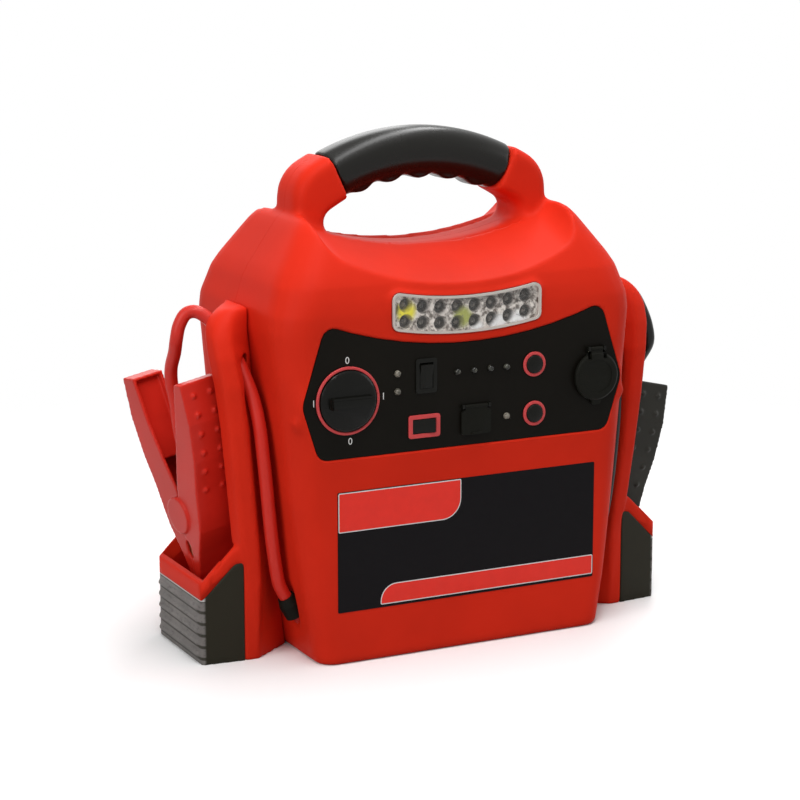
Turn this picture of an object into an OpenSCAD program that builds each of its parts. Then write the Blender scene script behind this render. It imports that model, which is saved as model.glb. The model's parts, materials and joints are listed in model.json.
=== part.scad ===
// Portable engine starter: a clamshell housing with an arched carrying handle, a control panel and
// a work lamp at the front, a battery and an air compressor inside, and on each side a holster
// that parks a battery clamp on its short heavy lead.
// Origin: middle of the base, on the floor. +X to the right seen from the front, +Y back, +Z up.

/* [Housing] */
// Depth of the housing, front face to back face
body_depth = 174; // [172:1:178]
// Width of the housing at the floor
base_width = 233; // [231:1:235]
// Width of the housing at its widest, under the shoulders
waist_width = 290; // [289:1:292]
// Wall thickness of the mouldings
wall = 3; // [2.6:0.1:3.4]
// Width of the top scoop between the shoulders
scoop_width = 209; // [205:1:210]

/* [Handle] */
// Height of the whole pack, floor to the top of the grip
total_height = 374.5; // [374:0.5:376]
// Thickness of the grip, seen from the front
grip_thick = 36; // [34:1:36]
// Width across the two pillars of the handle
handle_width = 207; // [204:1:210]
// Thickness of the handle, front to back
handle_depth = 44; // [43:1:46]
// Number of finger waves under the grip
finger_waves = 5; // [3:1:6]

/* [Control panel] */
// Height of the row through the main switch and the 12 V outlet
controls_z = 192.5; // [191:0.5:194]
// Distance of the main switch from the middle
switch_x = 95; // [94:0.5:96]
// Distance of the 12 V outlet from the middle
outlet_x = 106.5; // [105:0.5:107]
// Radius of the red ring round the main switch
switch_ring_r = 24.5; // [24:0.5:25]
// Travel of the push buttons
button_travel = 1.5; // [1:0.1:2]

/* [Lamp] */
// Half width of the lamp lens
lamp_half_width = 60.5; // [59:0.5:62]
// Number of light emitters in each of the two rows
lamp_columns = 8; // [6:1:8]

/* [Holsters and clamps] */
// Distance of each pocket's outer face from the middle
pocket_x = 190.5; // [190:0.5:192]
// Height of each pocket's rim at its outer face
rim_height = 60; // [58:1:62]
// Thickness of the rubber boot round each pocket
boot_thick = 2.5; // [2.2:0.1:2.8]
// Length of a clamp's handle above its pivot
clamp_handle = 114; // [110:1:116]
// Length of a clamp's jaw below its pivot
clamp_jaw = 50; // [46:1:50]
// Angle between each handle and the clamp's middle line
clamp_spread = 29; // [28:1:30]
// Diameter of the battery leads
lead_d = 9.6; // [9.2:0.1:9.8]

/* [Hidden] */

$fn = 40;
red = "#cf231c";
ring_red = "#c4484a";
black = "#1b1b1d";
rubber = "#262728";
steel = "#b9bcc0";
copper = "#b8733a";

// The grip bar of the main switch stands knob_out in front of the front face, and the housing
// sits half of that behind the middle of the whole depth.
knob_out = 12;
mid_y = knob_out / 2;
front_y = mid_y - body_depth / 2;
back_y = mid_y + body_depth / 2;
inner_front_y = front_y + wall;
inner_back_y = back_y - wall;
half_depth = body_depth / 2;
half_waist = waist_width / 2;
cavity_top = 256;

// The control panel: a plate sunk in the front face.
panel_y = front_y + 0.8;
panel_back_y = front_y + wall;
board_y = panel_back_y + 12;

// The brow, the lamp and the top of the panel are arcs round one point high above the pack,
// and the grip is an arc round one point inside it.
smile_z = 541;
brow_r = 273.5;
lamp_r = [280, 308];
panel_r = 314.6;
grip_arc_r = 178;
grip_z = total_height - grip_arc_r;
grip_half_angle = 25.5;
scoop_slope = 20.2;
crease_y = mid_y - handle_depth / 2;

// ------------------------------------------------------------------ helpers

function unit(v) = v / norm(v);

// Points of an arc round c, from angle a0 to a1.
function arc(c, r, a0, a1, n) =
    [for (i = [0:n]) let (a = a0 + (a1 - a0) * i / n) [c.x + r * cos(a), c.y + r * sin(a)]];

// Points that round off the corner b between a and c.
function corner(a, b, c, r, n) =
    let (u = unit(a - b), v = unit(c - b), half = acos(u * v) / 2,
         mid = b + unit(u + v) * (r / sin(half)),
         p = b + u * (r / tan(half)) - mid, q = b + v * (r / tan(half)) - mid,
         a0 = atan2(p.y, p.x), turn = (atan2(q.y, q.x) - a0 + 540) % 360 - 180)
    arc(mid, r, a0, a0 + turn, n);

// A closed outline from corners [x, y, radius]; a radius of 0 keeps the corner.
function rounded(pts, n = 4) = let (m = len(pts)) [for (i = [0:m - 1])
    let (a = pts[(i + m - 1) % m], b = pts[i], c = pts[(i + 1) % m])
    each (b.z == 0 ? [[b.x, b.y]] : corner([a.x, a.y], [b.x, b.y], [c.x, c.y], b.z, n))];

// The outline's points and their mirror images, in one direction round.
function both_sides(pts) = concat(pts, [for (i = [len(pts) - 1:-1:0]) [-pts[i].x, pts[i].y, pts[i].z]]);

// Extrudes an outline drawn in x and z along +Y, from y0 to y1.
module along_y(y0, y1) {
    translate([0, y1, 0]) rotate([90, 0, 0]) linear_extrude(y1 - y0) children();
}

// Extrudes an outline drawn in y and z along +X, from x0 to x1.
module along_x(x0, x1) {
    translate([x0, 0, 0]) rotate([90, 0, 90]) linear_extrude(x1 - x0) children();
}

// A round bar along Y at [x, z], from y0 to y1.
module bar_y(at, r, y0, y1, r2 = 0) {
    translate([at.x, y0, at.y]) rotate([-90, 0, 0]) cylinder(r1 = r, r2 = r2 == 0 ? r : r2, h = y1 - y0);
}

// A round bar along X through [y, z], from x0 to x1.
module bar_x(at, r, x0, x1) {
    translate([x0, at.x, at.y]) rotate([0, 90, 0]) cylinder(r = r, h = x1 - x0);
}

// A block between two opposite corners.
module block(a, b) {
    translate(a) cube(b - a);
}

// A solid skin through rings with equal numbers of points.
module skin(rings) {
    n = len(rings[0]);
    m = len(rings);
    polyhedron(
        points = [for (ring = rings) each ring],
        faces = concat(
            [[for (i = [0:n - 1]) i]],
            [[for (i = [n - 1:-1:0]) (m - 1) * n + i]],
            [for (k = [0:m - 2], i = [0:n - 1])
                let (a = k * n + i, b = a + n, j = (i + 1) % n, c = (k + 1) * n + j, d = k * n + j)
                each [[a, b, c], [a, c, d]]]));
}

// An outline drawn in x and z, placed at y with its z raised by lift.
function ring_y(pts, y, lift = 0) = [for (i = [len(pts) - 1:-1:0]) [pts[i].x, y, pts[i].y + lift]];

// A rounded rectangle round [0, mid_y] at height z.
function plate_ring(z, half_w, half_d, r, n = 5) = [for (q = [0:3], i = [0:n])
    let (sx = (q == 0 || q == 3) ? 1 : -1, sy = q < 2 ? 1 : -1, a = 90 * (q + i / n))
    [sx * (half_w - r) + r * cos(a), mid_y + sy * (half_d - r) + r * sin(a), z]];

// A tube along a path, each ring square to the path.
module tube(path, r, sides = 8) {
    last = len(path) - 1;
    skin([for (i = [0:last])
        let (t = unit(path[min(i + 1, last)] - path[max(i - 1, 0)]),
             u = unit(cross(t, [0, 1, 0.01])), v = cross(t, u))
        [for (k = [0:sides - 1]) path[i] + r * (u * cos(360 * k / sides) + v * sin(360 * k / sides))]]);
}

// Mirrors its children to the left side when side is -1.
module on_side(side) {
    if (side < 0) mirror([1, 0, 0]) children();
    else children();
}

// ------------------------------------------------------------------ housing

// Half width of the housing at height z, below the shoulders.
function side_x(z) = base_width / 2 + (waist_width - base_width) / 2 * pow(min(z, 240) / 240, 0.8);

// Levels of the housing: height, half width, half depth, corner radius.
body_levels = concat(
    [[0, base_width / 2 - 1.5, half_depth - 1.5, 13], [2, base_width / 2, half_depth, 14]],
    [for (z = [40:40:240]) [z, side_x(z), half_depth, 14 + 11 * z / 240]],
    [[252, half_waist - 1, half_depth - 0.3, 26], [262, half_waist - 4.5, half_depth - 2, 27],
     [272, half_waist - 7.5, half_depth - 5, 27], [281, half_waist - 12.5, half_depth - 10, 26],
     [290, half_waist - 19, half_depth - 15.5, 24], [300, half_waist - 26, half_depth - 22, 22],
     [308, half_waist - 31.5, half_depth - 28, 20], [313, half_waist - 35.5, half_depth - 33, 19],
     [316, half_waist - 40, half_depth - 39, 18]]);

module body_form() {
    skin([for (l = body_levels) plate_ring(l[0], l[1], l[2], l[3])]);
}

module body_cavity() {
    skin([for (l = [[wall, side_x(wall) - wall, half_depth - wall, 11],
            [120, side_x(120) - wall, half_depth - wall, 16],
            [240, side_x(240) - wall, half_depth - wall, 22],
            [cavity_top, half_waist - 9, half_depth - 5, 24]]) plate_ring(l[0], l[1], l[2], l[3])]);
}

// The dished top between the shoulders: an arc that climbs from the brow to the saddle under
// the handle, with its ends turned up into the shoulders.
scoop_end_r = 24;
scoop_turn = asin((scoop_width / 2 - scoop_end_r) / (brow_r - scoop_end_r));
scoop_outline = let (e = (brow_r - scoop_end_r) * [sin(scoop_turn), -cos(scoop_turn)] + [0, smile_z])
    concat(arc([0, smile_z], brow_r, -90 - scoop_turn, -90 + scoop_turn, 16),
        [for (p = arc(e, scoop_end_r, -90 + scoop_turn, 0, 6)) if (p.y > e.y - 22) p],
        [[scoop_width / 2, 420], [-scoop_width / 2, 420]],
        [for (p = arc([-e.x, e.y], scoop_end_r, 180, 270 - scoop_turn, 6)) if (p.y > e.y - 22) p]);

module scoop() {
    rise = (crease_y - front_y) * tan(scoop_slope);
    dip = -12 * tan(scoop_slope);
    skin([ring_y(scoop_outline, front_y - 12, dip), ring_y(scoop_outline, crease_y, rise),
        ring_y(scoop_outline, 2 * mid_y - crease_y, rise), ring_y(scoop_outline, back_y + 12, dip)]);
}

// The handle seen from the front: the outer outline, inset by d.
shoulder_r = 30;
shoulder_c = [handle_width / 2 - shoulder_r,
    grip_z + sqrt(pow(grip_arc_r - shoulder_r, 2) - pow(handle_width / 2 - shoulder_r, 2))];
shoulder_a = atan2(shoulder_c.y - grip_z, shoulder_c.x);
function handle_outline(d) = concat(
    [[-(handle_width / 2 - d), 286], [handle_width / 2 - d, 286]],
    arc(shoulder_c, shoulder_r - d, 0, shoulder_a - 6, 5),
    arc([0, grip_z], grip_arc_r - d, shoulder_a, 180 - shoulder_a, 16),
    arc([-shoulder_c.x, shoulder_c.y], shoulder_r - d, 186 - shoulder_a, 180, 5));

// The hole under the grip, grown by d.
hole_end = [71, 309];
hole_r = 9;
function hole_outline(d) =
    let (a = atan2(hole_end.y - grip_z, hole_end.x), b = atan2(hole_end.y - smile_z, hole_end.x),
         r_top = norm(hole_end - [0, grip_z]) + hole_r, r_low = norm(hole_end - [0, smile_z]) + hole_r)
    concat(arc(hole_end, hole_r + d, b, a - 10, 6), arc([0, grip_z], r_top + d, a, 180 - a, 14),
        arc([-hole_end.x, hole_end.y], hole_r + d, 190 - a, 180 - b, 6),
        [for (i = [1:11]) let (t = -180 - b + (2 * b + 180) * i / 12)
            [(r_low + d) * cos(t), smile_z + (r_low + d) * sin(t)]]);

// Edge rounding of the handle: distance in from the face, and inset of the outline there.
edge = [[0, 7], [1.5, 3.6], [5, 1], [10, 0]];

module handle_form() {
    y0 = mid_y - handle_depth / 2;
    y1 = mid_y + handle_depth / 2;
    skin(concat([for (e = edge) ring_y(handle_outline(e[1]), y0 + e[0])],
        [for (i = [3:-1:0]) ring_y(handle_outline(edge[i][1]), y1 - edge[i][0])]));
}

module handle_hole() {
    y0 = mid_y - handle_depth / 2;
    y1 = mid_y + handle_depth / 2;
    skin([ring_y(hole_outline(5), y0 - 1), ring_y(hole_outline(1), y0 + 4), ring_y(hole_outline(0), y0 + 9),
        ring_y(hole_outline(0), y1 - 9), ring_y(hole_outline(1), y1 - 4), ring_y(hole_outline(5), y1 + 1)]);
}

// A bent bar along the grip's arc, over half_angle to each side of the top.
module grip_bar(half_angle) {
    translate([0, mid_y, grip_z]) rotate([90, 0, 0]) rotate([0, 0, 90 - half_angle])
        rotate_extrude(angle = 2 * half_angle) children();
}

grip_mid_r = grip_arc_r - grip_thick / 2;
core_r = grip_thick / 2 - 5;

// Cross-section of the grip: a circle drawn out front to back.
module oval_section(r, stretch) {
    translate([grip_mid_r, 0]) {
        for (s = [-1, 1]) translate([0, s * stretch]) circle(r);
        translate([-r, -stretch]) square([2 * r, 2 * stretch]);
    }
}

module housing() {
    difference() {
        union() {
            difference() {
                body_form();
                scoop();
            }
            handle_form();
        }
        handle_hole();
        grip_bar(grip_half_angle) translate([grip_mid_r - 30, -40]) square([60, 80]);
    }
    grip_bar(grip_half_angle + 1) oval_section(core_r, 2);
}

// The control panel's outline, inset by d: a curved top and bracket-shaped ends.
function panel_outline(d) =
    let (r = panel_r + d, x1 = 111.5 - 0.8 * d, n = 5)
    rounded(both_sides(concat(
        [for (i = [0:n - 1]) let (x = x1 * (2 * i + 1) / (2 * n + 1)) [x, smile_z - sqrt(r * r - x * x), 0]],
        [[x1, smile_z - sqrt(r * r - x1 * x1), max(9 - d, 2)], [129.5 - 1.05 * d, 190.5, max(14 - d, 2)],
         [117 - 0.9 * d, 151 + d, max(9 - d, 2)]])));

// The lamp's outline, inset by d.
function lamp_outline(d) =
    let (x1 = lamp_half_width - d, top = lamp_r[0] + d, low = lamp_r[1] - d, n = 6)
    rounded(concat(
        [for (i = [-n:n]) let (x = x1 * i / n) [x, smile_z - sqrt(low * low - x * x), abs(i) == n ? 6 - d : 0]],
        [for (i = [n:-1:-n]) let (x = x1 * i / n) [x, smile_z - sqrt(top * top - x * x), abs(i) == n ? 6 - d : 0]]));

// Screw posts, at [x, z] on the right side.
screw_places = [[105, 9.5], [112, 108], [129, 178], [84, 246.6]];

// Where things pass through the back: [x, z].
gauge_at = [-52, 205];
air_at = [62, 205];
inlet_at = [84, 46];

module screw_posts(y0, y1) {
    for (s = [-1, 1], p = screw_places) bar_y([s * p.x, p.y], 6, y0, y1);
}

module front_shell() {
    color(red) difference() {
        intersection() {
            union() {
                difference() {
                    housing();
                    body_cavity();
                }
                // Frame behind the edge of the control panel
                along_y(inner_front_y - 1, inner_front_y + 4) difference() {
                    polygon(panel_outline(-4));
                    polygon(panel_outline(5.9));
                }
                screw_posts(inner_front_y - 0.5, mid_y);
            }
            block([-300, front_y - 40, -1], [300, mid_y, 400]);
        }
        along_y(front_y - 5, inner_front_y) polygon(panel_outline(-0.15));
        along_y(front_y - 5, inner_front_y + 30) polygon(panel_outline(6));
        along_y(front_y - 5, front_y + 2) polygon(lamp_outline(-0.1));
        along_y(front_y - 5, front_y + 17) polygon(lamp_outline(1.5));
        for (s = [-1, 1], p = screw_places) bar_y([s * p.x, p.y], 2, mid_y - 14, mid_y + 1);
        for (s = [-1, 1]) gland_place(s) translate([0, 0, -17]) cylinder(r = gland_r + 0.05, h = 50);
    }
}

module rear_shell() {
    color(red) difference() {
        intersection() {
            union() {
                difference() {
                    housing();
                    body_cavity();
                }
                screw_posts(mid_y, inner_back_y + 0.5);
                // Thick rings round the gauge, the air fitting and the charge inlet
                bar_y(gauge_at, 28, inner_back_y - 3, inner_back_y + 0.5);
                bar_y(air_at, 14, inner_back_y - 3, inner_back_y + 0.5);
                bar_y(inlet_at, 14, inner_back_y - 3, inner_back_y + 0.5);
                // Cradle of the compressor motor
                for (x = [-24, 22]) block([x, motor_at.x, motor_at.y - 20], [x + 5, inner_back_y + 0.5, motor_at.y + 20]);
                // Stops of the battery
                for (s = [-1, 1]) block([s * 50 - 3, battery_y1, wall - 0.5], [s * 50 + 3, inner_back_y + 0.5, 60]);
            }
            block([-300, mid_y, -1], [300, back_y + 40, 400]);
        }
        bar_y(gauge_at, 24.1, back_y - 2, back_y + 5);
        bar_y(gauge_at, 22.1, back_y - 12, back_y + 5);
        bar_y(air_at, 11, back_y - 3, back_y + 5);
        bar_y(air_at, 5.1, back_y - 12, back_y + 5);
        bar_y(inlet_at, 11, back_y - 3, back_y + 5);
        bar_y(inlet_at, 7.1, back_y - 12, back_y + 5);
        bar_x(motor_at, motor_r + 0.05, -60, 60);
        // Vent slots
        for (i = [0:6]) block([-35, back_y - 6, 96 + 8 * i], [35, back_y + 5, 99 + 8 * i]);
        for (s = [-1, 1], p = screw_places) {
            bar_y([s * p.x, p.y], 2.2, mid_y - 1, back_y + 5);
            bar_y([s * p.x, p.y], 4.2, inner_back_y - 12, back_y + 40);
        }
    }
}

module handle_grip() {
    color(rubber) difference() {
        union() {
            grip_bar(grip_half_angle - 0.1) oval_section(grip_thick / 2, 3);
            for (i = [0:finger_waves - 1])
                let (a = 90 + 38 * (i / (finger_waves - 1) - 0.5), r = grip_arc_r - grip_thick + 10)
                translate([r * cos(a), mid_y, grip_z + r * sin(a)]) rotate([90, 0, 0])
                    cylinder(r = 12.5, h = 24, center = true);
        }
        grip_bar(grip_half_angle + 1) oval_section(core_r + 0.05, 2);
    }
}

// ------------------------------------------------------------------ control panel

switch_at = [-switch_x, controls_z];
outlet_at = [outlet_x, controls_z];
status_places = [[-55.9, 208.3], [-55.9, 195.3], [32.5, 169.2]];
level_places = [for (i = [0:3]) [-8 + 13.4 * i, 205.5]];
output_rocker_at = [-33.3, 205];
light_rocker_at = [-34.8, 168.5];
usb_at = [6.5, 169.2];
test_at = [55, 205.6];
air_button_at = [55.3, 169.1];
board_posts = [[-58, 180], [80, 214], [80, 160], [20, 190]];
led_r = 2.5;

module control_panel() {
    color(black) difference() {
        union() {
            along_y(panel_y, panel_back_y) polygon(panel_outline(0.1));
            for (p = board_posts) bar_y(p, 3, panel_back_y - 0.5, board_y);
        }
        bar_y(switch_at, 5.05, panel_y - 5, panel_back_y + 5);
        bar_y(outlet_at, 14.6, panel_y - 5, panel_back_y + 5);
        for (p = concat(status_places, level_places)) bar_y(p, led_r + 0.1, panel_y - 5, panel_back_y + 5);
        for (p = [test_at, air_button_at]) bar_y(p, 8.35, panel_y - 5, panel_back_y + 5);
        rocker_place(output_rocker_at, 0) block([-7.1, -5, -11.1], [7.1, 5, 11.1]);
        rocker_place(light_rocker_at, 90) block([-7.1, -5, -11.1], [7.1, 5, 11.1]);
        block([usb_at.x - 7.6, panel_y - 5, usb_at.y - 4.1], [usb_at.x + 7.6, panel_back_y + 5, usb_at.y + 4.1]);
    }
}

module switch_ring() {
    color(ring_red) bar_ring(switch_at, switch_ring_r, switch_ring_r - 2.2, panel_y - 1.6, panel_y);
}

// A flat ring along Y round [x, z].
module bar_ring(at, r1, r2, y0, y1) {
    difference() {
        bar_y(at, r1, y0, y1);
        bar_y(at, r2, y0 - 1, y1 + 1);
    }
}

// Turning knob: a disc with a bar across it, and a shaft into the switch.
module switch_knob() {
    front = front_y - knob_out;
    color(black) {
        bar_y(switch_at, 21.8, panel_y - 2.6, panel_y - 0.3);
        bar_y(switch_at, 19.5, panel_y - 4.2, panel_y - 2.6, 21.8);
        along_y(front, panel_y - 4) translate(switch_at)
            polygon(rounded([[-19.5, -2.6, 2.4], [19.5, -2.6, 2.4], [19.5, 2.6, 2.4], [-19.5, 2.6, 2.4]]));
        along_y(front + 2.5, panel_y - 4) translate(switch_at)
            polygon(rounded([[-18.8, -4.2, 3], [18.8, -4.2, 3], [18.8, 4.2, 3], [-18.8, 4.2, 3]]));
        bar_y(switch_at, 5, panel_y - 3, panel_back_y + 14);
    }
}

module switch_body() {
    color(black) difference() {
        union() {
            bar_y(switch_at, 20, panel_back_y, panel_back_y + 28);
            for (s = [-1, 1]) bar_y(switch_at + [0, s * 11], 4, panel_back_y + 28, panel_back_y + 36);
        }
        bar_y(switch_at, 5.05, panel_back_y - 1, panel_back_y + 14.3);
    }
}

module leds(places) {
    for (p = places) {
        bar_y(p, led_r, panel_y - 0.4, board_y);
        translate([p.x, panel_y - 0.4, p.y]) sphere(led_r - 0.05);
    }
}

module status_leds() {
    color("#c9b8a8") leds(status_places);
}

module level_leds() {
    color("#cfd6c2") leds(level_places);
}

// Places a rocker switch at [x, z], turned about Y; its long side stands up at 0.
module rocker_place(at, turn) {
    translate([at.x, panel_y, at.y]) rotate([0, turn, 0]) children();
}

// Frame of a rocker switch: a flange on the panel and an open box behind it.
module rocker_frame() {
    difference() {
        union() {
            along_y(-1.1, 0) polygon(rounded([[-8.4, -12.6, 2], [8.4, -12.6, 2], [8.4, 12.6, 2], [-8.4, 12.6, 2]]));
            block([-7, -0.5, -11], [7, 8.5, 11]);
        }
        block([-5.4, -2, -9.4], [5.4, 7.3, 9.4]);
        bar_x([3.6, 0], 1.05, -6.6, 6.6);
    }
}

// The rocker, tipped to one side, on two short pins.
module rocker() {
    translate([0, 3.6, 0]) rotate([6, 0, 0]) {
        along_x(-5, 5) polygon([[-5.4, -8.7], [-4.4, 0], [-5.4, 8.7], [-2.4, 8.7], [1.6, 2.6], [1.6, -2.6], [-2.4, -8.7]]);
        bar_x([0, 0], 1, -6.4, 6.4);
    }
}

module output_rocker_frame() {
    color(black) rocker_place(output_rocker_at, 0) rocker_frame();
}

module output_rocker() {
    color(black) rocker_place(output_rocker_at, 0) rocker();
}

module light_rocker_frame() {
    color(ring_red) rocker_place(light_rocker_at, 90) rocker_frame();
}

module light_rocker() {
    color(black) rocker_place(light_rocker_at, 90) rocker();
}

module usb_socket() {
    color(black) difference() {
        union() {
            // Body through the panel, with a seat on its back
            block([usb_at.x - 7.5, panel_y - 0.6, usb_at.y - 4], [usb_at.x + 7.5, panel_back_y, usb_at.y + 4]);
            block([usb_at.x - 9.5, panel_back_y, usb_at.y - 6], [usb_at.x + 9.5, board_y, usb_at.y + 6]);
            // Hinge lugs of the cover, on the panel's face
            for (s = [-1, 1]) translate([usb_at.x + s * 10.6, panel_y, usb_at.y + 10.4])
                along_x(-1, 1) polygon(rounded([[0, -1.8, 0], [0, 1.8, 0], [-3.2, 1.6, 1.4], [-3.2, -1.6, 1.4]]));
        }
        block([usb_at.x - 6.1, panel_y - 5, usb_at.y - 2.3], [usb_at.x + 6.1, board_y - 2, usb_at.y + 2.3]);
        bar_x([panel_y - 1.7, usb_at.y + 10.4], 0.8, usb_at.x - 20, usb_at.x + 20);
    }
    // Tongue with the contacts
    color("#e6e6e6") block([usb_at.x - 5.4, panel_y + 1, usb_at.y - 0.1], [usb_at.x + 5.4, board_y - 2, usb_at.y + 1.5]);
}

module usb_cover() {
    color(rubber) {
        translate([usb_at.x, 0, usb_at.y - 0.6]) along_y(panel_y - 2.4, panel_y - 0.9)
            polygon(rounded([[-11.9, -9.8, 2], [11.9, -9.8, 2], [11.9, 8.2, 2], [-11.9, 8.2, 2]]));
        block([usb_at.x - 9, panel_y - 2.4, usb_at.y + 7], [usb_at.x + 9, panel_y - 1.2, usb_at.y + 10.4]);
        bar_x([panel_y - 1.7, usb_at.y + 10.4], 1.3, usb_at.x - 9.2, usb_at.x + 9.2);
        bar_x([panel_y - 1.7, usb_at.y + 10.4], 0.75, usb_at.x - 11.4, usb_at.x + 11.4);
        // Finger lip
        block([usb_at.x - 4, panel_y - 3.6, usb_at.y - 10.2], [usb_at.x + 4, panel_y - 2.3, usb_at.y - 8.6]);
    }
}

// Red collar of a push button, with a sleeve through the panel.
module button_bezel(at) {
    difference() {
        union() {
            bar_y(at, 9.2, panel_y - 1.4, panel_y);
            bar_y(at, 8.3, panel_y - 0.5, panel_y + 7);
        }
        bar_y(at, 6.8, panel_y - 3, panel_y + 8);
    }
}

// Push button: a domed cap, a flange behind the collar and a stem.
module push_button(at) {
    bar_y(at, 6.74, panel_y - 2, panel_y + 7.2);
    bar_y(at, 5.8, panel_y - 2.6, panel_y - 2, 6.74);
    bar_y(at, 7.8, panel_y + 7.1, panel_y + 8.1);
    bar_y(at, 1.8, panel_y + 8, board_y - 2.2 - button_travel);
}

module test_bezel() {
    color(ring_red) button_bezel(test_at);
}

module air_bezel() {
    color(ring_red) button_bezel(air_button_at);
}

module test_button() {
    color(black) push_button(test_at);
}

module air_button() {
    color(black) push_button(air_button_at);
}

cap_pivot = [panel_y - 2.6, outlet_at.y + 20.6];

module dc_socket() {
    color(black) difference() {
        union() {
            bar_y(outlet_at, 17, panel_y - 1.2, panel_y);
            bar_y(outlet_at, 14.5, panel_y - 0.5, panel_y + 40);
            // Hinge lugs of the cap
            for (s = [-1, 1]) translate([outlet_at.x + s * 6.5, 0, 0]) along_x(-1.1, 1.1)
                polygon([[panel_y - 1.2, outlet_at.y + 14], [panel_y, outlet_at.y + 14], [panel_y, outlet_at.y + 22.4],
                    [panel_y - 4, outlet_at.y + 22.4], [panel_y - 4.2, outlet_at.y + 19.2], [panel_y - 1.2, outlet_at.y + 17]]);
        }
        bar_y(outlet_at, 10.5, panel_y - 5, panel_y + 37);
        bar_x(cap_pivot, 0.8, outlet_at.x - 20, outlet_at.x + 20);
    }
    // Centre contact
    color(steel) bar_y(outlet_at, 2.5, panel_y + 32, panel_y + 37);
}

module dc_cap() {
    color(rubber) {
        difference() {
            union() {
                bar_y(outlet_at, 18, panel_y - 3.6, panel_y - 1.6);
                bar_y(outlet_at, 16.6, panel_y - 4.6, panel_y - 3.6, 18);
            }
            // Shallow dish in the face, and room for the hinge lugs
            bar_y(outlet_at, 12.5, panel_y - 5.5, panel_y - 4);
            for (s = [-1, 1]) block([outlet_at.x + s * 6.5 - 1.6, panel_y - 8, outlet_at.y + 13],
                [outlet_at.x + s * 6.5 + 1.6, panel_y, outlet_at.y + 30]);
        }
        block([outlet_at.x - 4.9, panel_y - 3.5, outlet_at.y + 15], [outlet_at.x + 4.9, panel_y - 1.8, outlet_at.y + 20]);
        bar_x(cap_pivot, 1.4, outlet_at.x - 5, outlet_at.x + 5);
        bar_x(cap_pivot, 0.75, outlet_at.x - 7.4, outlet_at.x + 7.4);
        // Pull tab
        along_y(panel_y - 3.4, panel_y - 1.6) translate(outlet_at)
            polygon(rounded([[-4.5, -16, 0], [-3.6, -21.4, 2.5], [3.6, -21.4, 2.5], [4.5, -16, 0]]));
    }
}

module control_board() {
    color("#2f5d43") difference() {
        block([-64, board_y, 152], [88, board_y + 1.6, 219]);
        block([outlet_at.x - 16, board_y - 1, 170], [100, board_y + 3, 219.5]);
    }
    // Micro switches under the two buttons
    color("#3a3a3a") for (p = [test_at, air_button_at])
        block([p.x - 4, board_y - 2, p.y - 4], [p.x + 4, board_y, p.y + 4]);
}

// ------------------------------------------------------------------ lamp

lens_back_y = front_y + 2;
lamp_back_y = lens_back_y + 11;
lamp_row_r = [288.6, 300.2];
cell_pitch = 13.9;
function lamp_cell(row, i) =
    let (a = cell_pitch * (i - (lamp_columns - 1) / 2) / lamp_row_r[row] * 180 / PI)
    [lamp_row_r[row] * sin(a), smile_z - lamp_row_r[row] * cos(a)];

module lamp_lens() {
    color("#dfe6ea", 0.5) {
        along_y(front_y - 0.6, lens_back_y) polygon(lamp_outline(0.1));
        along_y(front_y - 1.4, front_y - 0.6) polygon(lamp_outline(1));
    }
}

module lamp_reflector() {
    color("#c8cbcf") difference() {
        along_y(lens_back_y, lamp_back_y) polygon(lamp_outline(1.7));
        for (row = [0, 1], i = [0:lamp_columns - 1]) {
            bar_y(lamp_cell(row, i), 5.6, lens_back_y - 0.5, lens_back_y + 8, 3.2);
            bar_y(lamp_cell(row, i), 2.9, lens_back_y + 7.9, lamp_back_y + 1);
        }
    }
}

module lamp_leds() {
    color("#f2efd0") for (row = [0, 1], i = [0:lamp_columns - 1]) {
        bar_y(lamp_cell(row, i), 2.5, lamp_back_y - 5.5, lamp_back_y);
        translate([lamp_cell(row, i).x, lamp_back_y - 5.5, lamp_cell(row, i).y]) sphere(2.45, $fn = 24);
    }
}

module lamp_board() {
    color("#e8e8e2") along_y(lamp_back_y, lamp_back_y + 1.6) polygon(lamp_outline(1.7));
}

// ------------------------------------------------------------------ holsters

// The ear in plan at height z: its outer edge at x1 and its front tip at y1, tip_w wide.
function ear_ring(z, x1, y1, tip_w = 14) =
    let (xb = side_x(z), yv = max(2 - 15 * z / 160, y1 + 8), k = tip_w / 14)
    [for (p = rounded([[xb - 14, 22, 0], [xb - 14, yv + 6, 0], [xb - 2.4, yv, 0], [x1 - tip_w, y1, 2.5 * k],
        [x1 - 2, y1 + 2.5, 3.5 * k], [x1, y1 + 17 * k, 5 * k], [xb + 3, 13, 3 * k], [xb + 1, 22, 0]], 3))
        [p.x, p.y, z]];

// The ear: a wing that leans out from the housing's side, its hooked top holding the lead.
module ear() {
    skin([ear_ring(0, 157, -41, 9), ear_ring(60, 158, -44, 11), ear_ring(84, 163, -46), ear_ring(125, 167.5, -48.5),
        ear_ring(168, 172, -50), ear_ring(202, 176, -49), ear_ring(222, 179, -45), ear_ring(236, 179.5, -40),
        ear_ring(245, 177, -35), ear_ring(251, 171.5, -30, 12), ear_ring(254.5, 165, -27, 10)]);
}

// The pocket in plan.
pocket_back_y = 50;
function pocket_outline(d) = rounded([[108, -10 + d, 0], [148, -41 + d, 0], [pocket_x - d, -37 + d, 4],
    [pocket_x - d, pocket_back_y - d, 6], [108, pocket_back_y - d, 0]]);
rim_rise_x = 165;

// Side view of the rim, from the front: low at the outer face and high where it meets the ear.
module under_rim(drop) {
    along_y(-80, 90) polygon([[100, -1], [220, -1], [220, rim_height - drop], [pocket_x - 1, rim_height - drop],
        [rim_rise_x, rim_height + 24 - drop], [100, rim_height + 38 - drop]]);
}

pocket_floor = [44, 7];

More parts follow.
